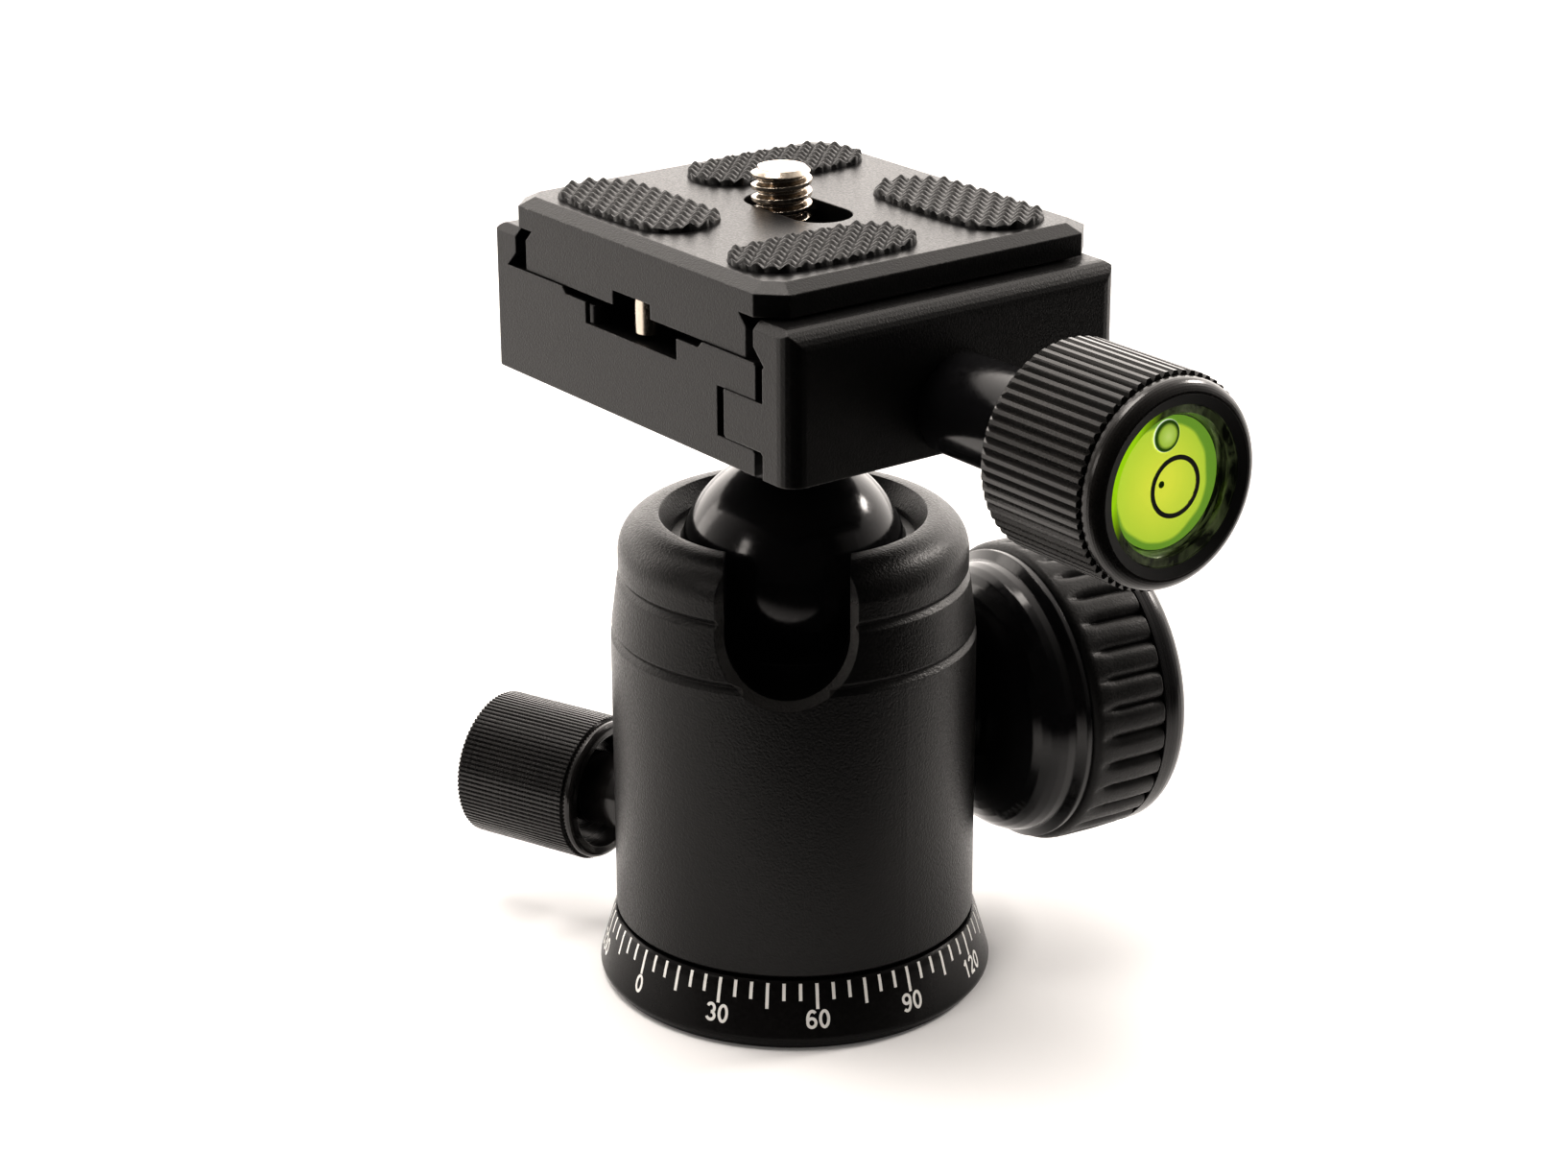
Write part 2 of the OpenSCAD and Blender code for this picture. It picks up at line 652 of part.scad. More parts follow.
module lock_hub() {
    dish = hub_ring_t - 0.8 - hub_t0;
    color(black_gloss) on_axis(lock_az, lock_z) difference() {
        rotate_extrude() polygon(concat(
            [[0, hub_t0], [hub_neck_r, hub_t0]],
            // The inner face is a quarter of an ellipse, from the neck out to the polished ring.
            [for (i = [1:10]) let (a = 9 * i)
                [hub_neck_r + (hub_ring_r - 1 - hub_neck_r) * sin(a), hub_t0 + dish * (1 - cos(a))]],
            [[hub_ring_r, hub_ring_t], [hub_ring_r, grip_t0 - fit], [hub_core_r, grip_t0 - fit],
            [hub_core_r, cap_t0 - fit], [0, cap_t0 - fit]]));
        translate([0, 0, hub_t0 - 1]) cylinder(h = 10.05, r = lock_screw_r);
    }
}

module lock_grip() {
    lobe_r = PI * grip_r / grip_lobes * 1.35;
    color(black_rubber) on_axis(lock_az, lock_z) difference() {
        intersection() {
            translate([0, 0, grip_t0]) linear_extrude(height = grip_l - 2 * fit) {
                circle(r = grip_r - lobe_r * 0.35);
                for (i = [0:grip_lobes - 1]) rotate([0, 0, 360 / grip_lobes * i])
                    translate([grip_r - lobe_r, 0]) circle(r = lobe_r);
            }
            rotate_extrude() polygon(concat([[0, grip_t0]],
                arc(grip_r - 1.2, grip_t0 + 1.2, 1.2, -90, 0, 4), [[grip_r + 0.1, cap_t0], [0, cap_t0]]));
        }
        translate([0, 0, grip_t0 - 1]) cylinder(h = grip_l + 2, r = hub_core_r);
    }
}

module lock_cap() {
    color(black_gloss) on_axis(lock_az, lock_z) rotate_extrude() polygon(concat(
        [[0, cap_t0], [cap_r, cap_t0]],
        arc(cap_r - 2.4, cap_t0 + cap_t - 2.4, 2.4, 0, 80, 7),
        [[cap_r - 5, cap_t0 + cap_t], [cap_r - 5.6, cap_t0 + cap_t - 0.4], [0, cap_t0 + cap_t - 0.4]]));
}

module pan_brake_pad() {
    nose_t = spindle_r - brake_groove_d + 0.1;
    color(acetal) on_axis(pan_az, pan_z) rotate_extrude() polygon([[0, nose_t], [brake_nose_half, nose_t],
        [brake_pad_r, nose_t + brake_pad_r - brake_nose_half],
        [brake_pad_r, brake_pad_t1], [0, brake_pad_t1]]);
}

module pan_screw() {
    color(bright_steel) on_axis(pan_az, pan_z)
        tube(brake_pad_t1 + screw_end_gap, pan_knob_t0 + pan_knob_l - 3, pan_screw_r);
}

module pan_knob() {
    t0 = pan_knob_t0;
    t1 = pan_knob_t0 + pan_knob_l;
    color(black_anodised) on_axis(pan_az, pan_z) difference() {
        union() {
            translate([0, 0, t0 + 1.2]) linear_extrude(height = pan_knob_l - 1.9)
                ridges(pan_ridges, pan_knob_r, pan_ridge_d);
            rotate_extrude() polygon(concat([[0, t0]],
                arc(pan_knob_r - 0.9, t0 + 0.6, 0.6, -90, 10, 4),
                [[pan_knob_r - 0.4, t0 + 1.3], [pan_knob_r - 0.4, t1 - 0.8],
                [pan_knob_r - 1.1, t1], [0, t1]]));
            translate([0, 0, body_r + pan_hub_gap]) cylinder(h = pan_knob_gap, r = pan_hub_r);
        }
        tube(t0 - 1, t0 + pan_dish_d, pan_knob_r - 1.6, pan_hub_r);
        translate([0, 0, body_r]) cylinder(h = t1 - 3 - body_r, r = pan_screw_r);
    }
}

module ball() {
    color(black_gloss) translate([0, 0, ball_z]) sphere(r = ball_r);
}

module ball_stem() {
    color(black_gloss) difference() {
        translate([0, 0, ball_z]) cylinder(h = clamp_z - fit - ball_z, r = stem_r);
        translate([0, 0, ball_z]) sphere(r = seat_r);
        translate([0, 0, bolt_end_z - 0.4]) cylinder(h = 10, r = bolt_r + fit);
    }
}

// Section of the clamp's fixed part, looking along the dovetail.
module clamp_section() {
    d = dovetail_x;
    polygon(concat(
        [[-fixed_face_x, clamp_z + 0.5], [-fixed_face_x + 0.5, clamp_z], [floor_end_x - 0.2, clamp_z],
        [floor_end_x - 0.2, slot_z0 - 0.3], [floor_end_x - 0.5, slot_z0], [slot_back_x, slot_z0],
        [slot_back_x, slot_z1], [floor_end_x, slot_z1], [floor_end_x, floor_z - 0.3],
        [floor_end_x - 0.3, floor_z],
        [d - apex_half, floor_z], [d - lip_half, lip_z0], [d - lip_half, jaw_top_z - 0.2],
        [d - lip_half - 0.2, jaw_top_z]],
        arc(-fixed_face_x + 1.2, jaw_top_z - 1.2, 1.2, 90, 180, 4)));
}

// Cuts the two upper end edges of a jaw, hy its half length.
module end_chamfers(hy) {
    for (s = [-1, 1]) translate([0, s * hy, jaw_top_z]) rotate([45, 0, 0])
        cube([4 * fixed_face_x, jaw_end_chamfer * sqrt(2), jaw_end_chamfer * sqrt(2)], center = true);
}

// Plan of a block of half length hy that ends at x, its upright edges there rounded.
module rounded_end(x, hy, r) {
    s = x > 0 ? 1 : -1;
    scale([s, 1]) polygon(concat([[-30, -hy]], arc(s * x - r, -hy + r, r, -90, 0, 6),
        arc(s * x - r, hy - r, r, 0, 90, 6), [[-30, hy]]));
}

module clamp_body() {
    color(black_anodised) difference() {
        intersection() {
            rotate([90, 0, 0]) translate([0, 0, -clamp_hy])
                linear_extrude(height = 2 * clamp_hy) clamp_section();
            translate([0, 0, clamp_z - 1]) linear_extrude(height = jaw_top_z - clamp_z + 2)
                rounded_end(-fixed_face_x, clamp_hy, fixed_round);
        }
        end_chamfers(clamp_hy);
        // The channel along the floor clears the camera screw's head.
        translate([plate_x, 0, floor_z - channel_d]) rotate([90, 0, 0]) translate([0, 0, -clamp_hy - 1])
            linear_extrude(height = 2 * clamp_hy + 2) polygon([[-channel_hw, 0], [channel_hw, 0],
                [channel_hw + channel_d + 1, channel_d + 1], [-channel_hw - channel_d - 1, channel_d + 1]]);
        // The two end pockets take the plate's stop screws.
        for (s = [-1, 1])
            translate([plate_x, s * (clamp_hy - pocket_l / 2 + 0.5), (pocket_z + floor_z) / 2 + 0.5])
            cube([2 * pocket_hw, pocket_l + 1, floor_z - pocket_z + 1], center = true);
        for (s = [-1, 1]) stop_pin_at(s) translate([0, 0, pocket_z - 2.5]) cylinder(h = 10, r = stop_pin_r);
        translate([0, 0, clamp_z - 1]) cylinder(h = floor_z - clamp_z + 2, r = bolt_r + clear);
        translate([0, 0, bolt_seat_z()]) cylinder(h = floor_z - bolt_seat_z() + 1, r = bolt_head_r + clear);
        // The clamp screw has a threaded bore here and clears the slot's two lips.
        on_axis(0, knob_z) {
            translate([0, 0, clamp_screw_x0 - 1]) cylinder(h = floor_end_x, r = clamp_screw_r + fit);
            translate([0, 0, slot_back_x]) cylinder(h = floor_end_x, r = clamp_screw_r + clear + 0.1);
        }
        for (s = [-1, 1]) translate([0, s * guide_y, 0]) on_axis(0, guide_z())
            translate([0, 0, guide_x0 - 0.1]) cylinder(h = 30, r = guide_r);
    }
}

function bolt_seat_z() = floor_z - channel_d - bolt_head_h - 0.3;
function guide_z() = (slot_z0 + slot_z1) / 2;

module stop_pin_at(s) {
    translate([plate_x + s * (pocket_hw - stop_pin_r * 0.4), s * (clamp_hy - stop_pin_r - 0.3), 0])
        children();
}

module clamp_bolt() {
    color(bright_steel) difference() {
        union() {
            translate([0, 0, bolt_seat_z() + seat_gap]) cylinder(h = bolt_head_h, r = bolt_head_r);
            translate([0, 0, bolt_end_z]) cylinder(h = bolt_seat_z() - bolt_end_z + 1, r = bolt_r);
        }
        translate([0, 0, bolt_seat_z() + bolt_head_h - 2.8]) cylinder(h = 5, r = bolt_head_r * 0.55, $fn = 6);
    }
}

module guide_pins() {
    color(bright_steel) for (s = [-1, 1]) translate([0, s * guide_y, 0]) on_axis(0, guide_z())
        tube(guide_x0, guide_x1, guide_r);
}

module stop_pins() {
    color(black_gloss) for (s = [-1, 1]) stop_pin_at(s)
        tube(pocket_z - 2.4, floor_z - channel_d - 0.2, stop_pin_r);
}

// Section of the sliding jaw, looking along the dovetail.
module jaw_section() {
    d = dovetail_x;
    polygon(concat(
        [[tongue_x + 0.3, slot_z0 + 0.15], [jaw_inner_x - 0.3, slot_z0 + 0.15], [jaw_inner_x, slot_z0 - 0.15],
        [jaw_inner_x, clamp_z], [jaw_face_x, clamp_z]],
        arc(jaw_face_x - jaw_round, jaw_top_z - jaw_round, jaw_round, 0, 90, 6),
        [[d + lip_half + 0.2, jaw_top_z], [d + lip_half, jaw_top_z - 0.2], [d + lip_half, lip_z0],
        [d + apex_half, floor_z], [jaw_inner_x, floor_z - (d + apex_half - jaw_inner_x)],
        [jaw_inner_x, slot_z1 - fit], [tongue_x, slot_z1 - fit], [tongue_x, slot_z0 + 0.45]]));
}

module sliding_jaw() {
    color(black_anodised) difference() {
        intersection() {
            rotate([90, 0, 0]) translate([0, 0, -jaw_hy]) linear_extrude(height = 2 * jaw_hy) jaw_section();
            // The upright outer edges are rounded as the top one is.
            translate([0, 0, clamp_z - 1]) linear_extrude(height = jaw_top_z - clamp_z + 2)
                rounded_end(jaw_face_x, jaw_hy, jaw_round);
        }
        end_chamfers(jaw_hy);
        on_axis(0, knob_z) translate([0, 0, slot_back_x])
            cylinder(h = jaw_face_x - slot_back_x + 1, r = clamp_screw_r + clear + 0.1);
        for (s = [-1, 1]) translate([0, s * guide_y, 0]) on_axis(0, guide_z())
            translate([0, 0, slot_back_x]) cylinder(h = guide_x1 + 0.5 - slot_back_x, r = guide_r + fit);
    }
}

module clamp_sleeve() {
    color(black_gloss) on_axis(0, knob_z)
        tube(jaw_face_x, jaw_face_x + sleeve_l, sleeve_r, clamp_screw_r + fit);
}

module clamp_knob() {
    x0 = knob_x0;
    rim_x = x0 + knob_ridge_l;
    color(black_anodised) on_axis(0, knob_z) difference() {
        union() {
            intersection() {
                translate([0, 0, x0]) linear_extrude(height = knob_ridge_l)
                    ridges(knob_ridges, knob_r, knob_ridge_d);
                rotate_extrude() polygon([[0, x0], [knob_r - 0.9, x0], [knob_r + 0.1, x0 + 1],
                    [knob_r + 0.1, rim_x], [0, rim_x]]);
            }
            rotate_extrude() polygon(concat(
                [[0, x0 + 1], [knob_r - knob_ridge_d - 0.6, x0 + 1],
                [knob_r - knob_ridge_d - 0.6, rim_x + 0.1],
                [rim_r, rim_x + 0.3]],
                arc(bead_c, knob_x1 - bead_r, bead_r, 0, 90, 8),
                // Inside the bead the rim slopes down to the level.
                [[level_r, level_x1], [0, level_x1]]));
        }
        translate([0, 0, level_x0]) cylinder(h = 20, r = level_r);
        translate([0, 0, x0 - 1]) cylinder(h = level_x0 - 1 - x0, r = clamp_screw_r);
    }
}

module clamp_screw() {
    color(bright_steel) on_axis(0, knob_z) tube(clamp_screw_x0, level_x0 - 2.1, clamp_screw_r);
}

module level_case() {
    color("#d8e0b8") on_axis(0, knob_z) difference() {
        tube(level_x0, level_x1, level_r - seat_gap);
        translate([0, 0, level_x0 - 1]) cylinder(h = liquid_x1 - level_x0 + 1, r = liquid_r);
        tube(level_x1 - 0.15, level_x1 + 1, level_ring_r, level_ring_r - level_line);
    }
}

module level_liquid() {
    color("#c3dc3a") on_axis(0, knob_z) difference() {
        tube(level_x0, liquid_x1 - seat_gap, liquid_r - seat_gap);
        bubble_shape(seat_gap);
    }
}

// The bubble rests against the clear face, near its upper edge while the clamp is level.
module bubble_shape(gap) {
    translate([-(liquid_r - bubble_r - 0.3), 0, liquid_x1 - 0.6 - gap])
        cylinder(h = 0.58 + 2 * gap, r = bubble_r + gap);
}

module level_circle() {
    color("black") on_axis(0, knob_z)
        tube(level_x1 - 0.15, level_x1 - 0.01, level_ring_r, level_ring_r - level_line);
}

module level_bubble() {
    color("#eef4c8") on_axis(0, knob_z) bubble_shape(0);
}

module plate() {
    color(black_anodised) difference() {
        union() {
            intersection() {
                // The top slab, with the chamfer round its upper edge.
                union() {
                    translate([plate_x, plate_y, overhang_z])
                        linear_extrude(height = plate_top_z - plate_chamfer_h - overhang_z)
                        cut_rectangle(plate_hx, plate_hy, corner_cut);
                    plate_chamfer();
                }
                translate([plate_x, plate_y, overhang_z])
                    linear_extrude(height = plate_top_z - overhang_z)
                    cut_rectangle(plate_hx, plate_hy, corner_cut);
            }
            intersection() {
                translate([0, plate_y, 0]) rotate([90, 0, 0]) translate([0, 0, -plate_hy])
                    linear_extrude(height = 2 * plate_hy) dovetail_section();
                translate([plate_x, plate_y, plate_z - 1])
                    linear_extrude(height = overhang_z - plate_z + 2)
                    cut_rectangle(toe_half, plate_hy, toe_cut);
            }
        }
        translate([plate_x, plate_y, plate_z - 1]) linear_extrude(height = 20)
            slot(screw_slot_hl, screw_slot_hw);
        translate([plate_x, plate_y, plate_z - 1]) linear_extrude(height = head_pocket_d + 1)
            slot(screw_slot_hl + 3.6, camera_head_r + 0.3);
        for (s = [-1, 1]) translate([plate_x, plate_y + s * stop_screw_y, 0]) {
            translate([0, 0, plate_z - 1]) cylinder(h = stop_pocket_d + 1, r = stop_pocket_r);
            translate([0, 0, plate_z]) cylinder(h = stop_pocket_d + 2.4, r = stop_screw_r * 0.6);
        }
        for (k = [0:3]) pad_place(k) translate([0, 0, pad_z]) linear_extrude(height = pad_recess + 1)
            pad_outline(pad_l(k), seat_gap);
    }
}

// The top slab above the chamfer's lower edge, cut back by four pairs of planes.
module plate_chamfer() {
    run = plate_chamfer_w / plate_chamfer_h;
    z1 = plate_top_z - plate_chamfer_h;
    translate([plate_x, plate_y, 0]) intersection() {
        chamfer_prism(plate_hx, plate_hy + 1, z1, run);
        rotate([0, 0, 90]) chamfer_prism(plate_hy, plate_hx + 1, z1, run);
        rotate([0, 0, 45]) chamfer_prism(corner_half(), plate_hx + plate_hy, z1, run);
        rotate([0, 0, -45]) chamfer_prism(corner_half(), plate_hx + plate_hy, z1, run);
    }
}

function corner_half() = (plate_hx + plate_hy - corner_cut) / sqrt(2);

// A bar along Y whose sides lean in above the height z1.
module chamfer_prism(half, len, z1, run) {
    rotate([90, 0, 0]) translate([0, 0, -len]) linear_extrude(height = 2 * len)
        polygon([[-half, z1 - 1], [half, z1 - 1], [half, z1], [half - plate_chamfer_w, z1 + plate_chamfer_h],
            [-half + plate_chamfer_w, z1 + plate_chamfer_h], [-half, z1]]);
}

module dovetail_section() {
    translate([plate_x, 0]) polygon([[-toe_half, plate_z], [toe_half, plate_z],
        [toe_half, plate_z + toe_edge_h], [neck_half, flank_sum - neck_half], [neck_half, overhang_z + 0.5],
        [-neck_half, overhang_z + 0.5], [-neck_half, flank_sum - neck_half],
        [-toe_half, plate_z + toe_edge_h]]);
}

module stop_screws() {
    color(nickel) for (s = [-1, 1]) translate([plate_x, plate_y + s * stop_screw_y, 0]) {
        tube(stop_screw_end_z, plate_z + stop_pocket_d, stop_screw_r);
        tube(plate_z + stop_pocket_d - 0.5, plate_z + stop_pocket_d + 2.3, stop_screw_r * 0.6);
    }
}

function pad_l(k) = k % 2 == 0 ? pad_lx : pad_ly;

// The four pads stand like the blades of a pinwheel round the camera screw.
module pad_place(k) {
    translate([plate_x, plate_y, 0]) rotate([0, 0, 90 * k])
        translate(k % 2 == 0 ? [-pad_x_along, -pad_x_across, 0] : [-pad_y_along, -pad_y_across, 0])
        children();
}

// A pad is a slot shape with gently bowed long sides.
module pad_outline(length, gap) {
    bow = 3 * length;
    intersection() {
        slot(length / 2 + gap, pad_w / 2 + gap);
        translate([0, pad_w / 2 + gap - bow]) circle(r = bow, $fn = 360);
        translate([0, bow - pad_w / 2 - gap]) circle(r = bow, $fn = 360);
    }
}

module pad(k) {
    edge_z = pad_recess + pad_edge_h;
    side = stud_pitch / 2 - stud_tip;
    count = ceil((pad_l(k) + pad_w) / stud_pitch / 2 / sqrt(2)) + 1;
    color(black_rubber) pad_place(k) translate([0, 0, pad_z]) difference() {
        linear_extrude(height = edge_z + stud_h) pad_outline(pad_l(k), 0);
        // Two crossed sets of V grooves leave rows of pyramids.
        for (a = [45, -45], i = [-count:count]) rotate([0, 0, a]) translate([0, i * stud_pitch, edge_z])
            rotate([90, 0, 90]) translate([0, 0, -pad_l(k)]) linear_extrude(height = 2 * pad_l(k))
            polygon([[0, 0], [side, stud_h], [side, stud_h + 1], [-side, stud_h + 1], [-side, stud_h]]);
    }
}

module screw_keeper() {
    color(bright_steel) translate([camera_x, plate_y, 0])
        tube(head_z1 + fit, head_z1 + fit + keeper_t, camera_head_r - 0.3, camera_shank_r + fit);
}

module camera_screw() {
    // The plain shank slides in the plate's slot and the thread starts just below the plate's top.
    thread_z0 = plate_top_z - 0.6;
    thread_z1 = plate_top_z + camera_thread_h;
    color(nickel) translate([camera_x, plate_y, 0]) difference() {
        union() {
            tube(head_z0, head_z1, camera_head_r);
            tube(head_z0, thread_z0 + 0.5, camera_shank_r);
            rotate_extrude() polygon([[0, thread_z0], [camera_shank_r, thread_z0],
                [camera_thread_r, thread_z0 + 0.6], [camera_thread_r, thread_z1 - 0.5],
                [camera_thread_r - 0.5, thread_z1], [0, thread_z1]]);
        }
        // The slot across the head is turned with a coin.
        translate([-camera_head_r - 1, -0.7, head_z0 - 1]) cube([2 * camera_head_r + 2, 1.4, 2]);
    }
}

pan_base();
tripod_insert();
pan_spindle();
spindle_screws();
retaining_ring();
housing();
pan_bearing();
upper_ball_ring();
lock_bush();
lower_ball_cup();
lock_wedge();
lock_screw();
lock_hub();
lock_grip();
lock_cap();
pan_brake_pad();
pan_screw();
pan_knob();
ball();
ball_stem();
clamp_body();
clamp_bolt();
guide_pins();
stop_pins();
sliding_jaw();
clamp_sleeve();
clamp_knob();
clamp_screw();
level_case();
level_liquid();
level_circle();
level_bubble();
plate();
stop_screws();
pad(0);  // pad_front_left
pad(1);  // pad_front_right
pad(2);  // pad_back_right
pad(3);  // pad_back_left
screw_keeper();
camera_screw();
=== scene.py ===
# Dresses the ball head: finishes, threads, grips, the printed pan scale, the level, and a small studio round it.
from math import radians

import bpy
import numpy as np
from bpy.props import FloatProperty, IntProperty, PointerProperty, StringProperty
from mathutils import Matrix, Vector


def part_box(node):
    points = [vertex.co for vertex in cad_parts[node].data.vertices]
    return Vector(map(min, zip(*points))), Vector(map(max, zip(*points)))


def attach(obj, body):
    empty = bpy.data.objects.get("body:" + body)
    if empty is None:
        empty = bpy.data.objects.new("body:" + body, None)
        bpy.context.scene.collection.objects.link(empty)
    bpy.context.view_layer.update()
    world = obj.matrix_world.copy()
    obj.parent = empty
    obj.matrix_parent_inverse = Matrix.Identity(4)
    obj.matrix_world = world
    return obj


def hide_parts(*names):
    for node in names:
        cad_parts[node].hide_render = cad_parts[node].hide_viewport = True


bl_info = {
    "name": "Ball Head Dresser",
    "version": (1, 0, 0),
    "blender": (4, 5, 0),
    "location": "View3D > Sidebar > Ball Head",
    "description": "Gives a tripod ball head its finishes, threads, grips, pan scale and level",
    "category": "Object",
}

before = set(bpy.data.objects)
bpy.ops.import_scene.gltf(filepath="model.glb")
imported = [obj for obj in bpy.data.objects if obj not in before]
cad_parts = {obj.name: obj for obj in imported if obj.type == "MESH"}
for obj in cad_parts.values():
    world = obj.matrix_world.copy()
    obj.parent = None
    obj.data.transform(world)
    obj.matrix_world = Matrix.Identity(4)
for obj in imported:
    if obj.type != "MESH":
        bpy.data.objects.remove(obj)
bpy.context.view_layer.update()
MM = 0.001
TAU = 2 * np.pi
# The level axes of the head, each as its azimuth in degrees and its height in mm.
CLAMP_KNOB, NOTCH, LOCK_KNOB, PAN_KNOB = (0, 71.5), (-39, 45.1), (83, 26), (201, 14.5)
# The base's side in mm: the heights of its foot, its chamfer, its top edge and its top, and the radius at each.
BASE_HEIGHTS, BASE_RADII = (1.344, 6.3, 6.95, 7.2), (21.374, 19.95, 19.7, 19.45)


def linear(code):
    """Linear RGBA of an sRGB colour such as "1a2b3c"."""
    c = np.array([int(code[i:i + 2], 16) / 255 for i in (0, 2, 4)])
    c = np.where(c <= 0.04045, c / 12.92, ((c + 0.055) / 1.055) ** 2.4)
    return (*map(float, c), 1.0)


# ---------------------------------------------------------------- surfaces


def level_frame(azimuth, z):
    """Origin and three directions of a level axis: sideways, up, and outwards from the pan axis, in mm."""
    a = radians(azimuth)
    return np.array([0, 0, z]), np.array([[-np.sin(a), np.cos(a), 0], [0, 0, 1], [np.cos(a), np.sin(a), 0]])


def upright_frame(x, y):
    """Origin and three directions of an upright axis through x, y, in mm."""
    return np.array([x, y, 0]), np.eye(3)


def rings(axis, radius, along, count):
    """Rows of points round an axis: origin + r cos(a) U + r sin(a) V + t T, r and t per row or per point."""
    origin, (u, v, t) = axis
    a = np.arange(count) / count * TAU
    r = np.broadcast_to(np.reshape(radius, (len(along), -1)), (len(along), count))
    h = np.broadcast_to(np.reshape(along, (len(along), -1)), (len(along), count))
    return origin + (r * np.cos(a))[..., None] * u + (r * np.sin(a))[..., None] * v + h[..., None] * t


def rounded(points, radii, steps=5):
    """A profile whose corners are rounded: each corner is replaced by a curve that leaves and meets its two sides.

    The curve is (1 - s)^2 p + 2 s (1 - s) b + s^2 q, from p on one side by the corner b to q on the other side. It
    takes less than half of either side.
    """
    points = np.asarray(points, float)
    out = [points[:1]]
    for i in range(1, len(points) - 1):
        a, b, c = points[i - 1:i + 2]
        da, dc = np.linalg.norm(a - b), np.linalg.norm(c - b)
        cut = min(radii[i] if np.ndim(radii) else radii, 0.49 * da, 0.49 * dc)
        s = np.linspace(0, 1, steps)[:, None]
        p, q = b + (a - b) / da * cut, b + (c - b) / dc * cut
        out.append((1 - s) ** 2 * p + 2 * s * (1 - s) * b + s ** 2 * q)
    out.append(points[-1:])
    return np.concatenate(out)


def thread(heights, pitch, count, low, high, steep, flat):
    """Radii of a thread that climbs one pitch a turn, for rows at heights and count points a row, in mm.

    The wave w = |2 frac(z / pitch - turn) - 1| goes from 1 to 0 and back once a pitch. The radius is low where
    steep w - flat is below 0 and high where it is above 1.
    """
    wave = np.abs((heights / pitch - np.arange(count) / count) % 1 * 2 - 1)
    return low + (high - low) * np.clip(wave * steep - flat, 0, 1)


def skin(name, body, rows, looped=False, sharp=30, like=None, material=None):
    """A closed mesh from rows of points in mm. Rows close on themselves; the ends get caps, or meet if looped."""
    rows = np.asarray(rows, float) * MM
    m, n = rows.shape[:2]
    i, j = np.meshgrid(np.arange(m if looped else m - 1), np.arange(n), indexing="ij")
    i2, j2 = (i + 1) % m, (j + 1) % n
    quads = np.stack([i * n + j, i * n + j2, i2 * n + j2, i2 * n + j], -1).reshape(-1, 4).tolist()
    caps = [] if looped else [list(range(n - 1, -1, -1)), list(range((m - 1) * n, m * n))]
    mesh = bpy.data.meshes.new(name)
    mesh.from_pydata(rows.reshape(-1, 3).tolist(), [], quads + caps)
    return piece(name, body, mesh, sharp, like, material)


def put(name, data, matrix=None):
    """Links a new object to the scene."""
    obj = bpy.data.objects.new(name, data)
    bpy.context.scene.collection.objects.link(obj)
    if matrix is not None:
        obj.matrix_world = matrix
    return obj


def piece(name, body, mesh, sharp=30, like=None, material=None):
    """Puts a mesh in the scene as a piece that rides on a body, and stands for the CAD nodes in like."""
    mesh.shade_smooth()
    mesh.set_sharp_from_angle(angle=radians(sharp))
    obj = put(name, mesh)
    if material:
        mesh.materials.append(material)
    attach(obj, body)
    if like:
        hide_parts(*like)
    return obj


def wear(names, material):
    """Gives CAD nodes one material."""
    for name in names:
        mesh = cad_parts[name].data
        mesh.materials.clear()
        mesh.materials.append(material)


# ---------------------------------------------------------------- materials


def add(tree, kind, links=None, **settings):
    """Adds one node, sets its settings, and links or sets its inputs."""
    node = tree.nodes.new(kind)
    for key, value in settings.items():
        setattr(node, key, value)
    for key, value in (links or {}).items():
        if isinstance(value, bpy.types.NodeSocket):
            tree.links.new(value, node.inputs[key])
        else:
            node.inputs[key].default_value = value
    return node


def first(tree, kind):
    """The first node of a kind in a tree."""
    return next(n for n in tree.nodes if n.type == kind)


def place_on(tree):
    """The point's place on the object, in m."""
    return add(tree, "ShaderNodeTexCoord").outputs["Object"]


def calc(tree, operation, *values):
    """The result of one operation on numbers."""
    return add(tree, "ShaderNodeMath", dict(enumerate(values)), operation=operation).outputs[0]


def vector_calc(tree, operation, *values):
    """The result of one operation on vectors: a number for a length or a dot product, a vector for the others."""
    node = add(tree, "ShaderNodeVectorMath", dict(enumerate(values)), operation=operation)
    return node.outputs["Value" if operation in ("LENGTH", "DOT_PRODUCT") else "Vector"]


def rise(tree, value, low, high, start=0.0, end=1.0):
    """A number that goes from start, where value is low, to end, where value is high, and stays level past both."""
    return add(tree, "ShaderNodeMapRange", {"Value": value, "From Min": low, "From Max": high, "To Min": start,
                                            "To Max": end}).outputs["Result"]


def noise(tree, place, size_mm, detail, **values):
    """Soft noise from 0 to 1 whose spots are about size_mm across."""
    return add(tree, "ShaderNodeTexNoise", {"Vector": place, "Scale": 1 / (size_mm * MM), "Detail": detail,
                                            **values}).outputs["Fac"]


def ramp(tree, value, *stops):
    """The colour that a value has on a ramp. Each stop is a value and an sRGB colour, in rising order."""
    node = add(tree, "ShaderNodeValToRGB", {"Fac": value})
    elements = node.color_ramp.elements
    elements.remove(elements[1])
    elements[0].position, elements[0].color = stops[0][0], linear(stops[0][1])
    for at, colour in stops[1:]:
        elements.new(at).color = linear(colour)
    return node.outputs["Color"]


def mixed(tree, amount, old, new):
    """A mix of two numbers or, where new is a colour, of two colours. An amount of 1 is all new."""
    kind, a, b, result = ("RGBA", 6, 7, 2) if isinstance(new, tuple) else ("FLOAT", 2, 3, 0)
    return add(tree, "ShaderNodeMix", {0: amount, a: old, b: new}, data_type=kind).outputs[result]


def from_axis(tree, place, axis):
    """How far a place is from an axis, in m: |(place - origin) x direction|."""
    origin, (_, _, direction) = axis
    off = vector_calc(tree, "SUBTRACT", place, tuple(origin * MM))
    return vector_calc(tree, "LENGTH", vector_calc(tree, "CROSS_PRODUCT", off, tuple(direction)))


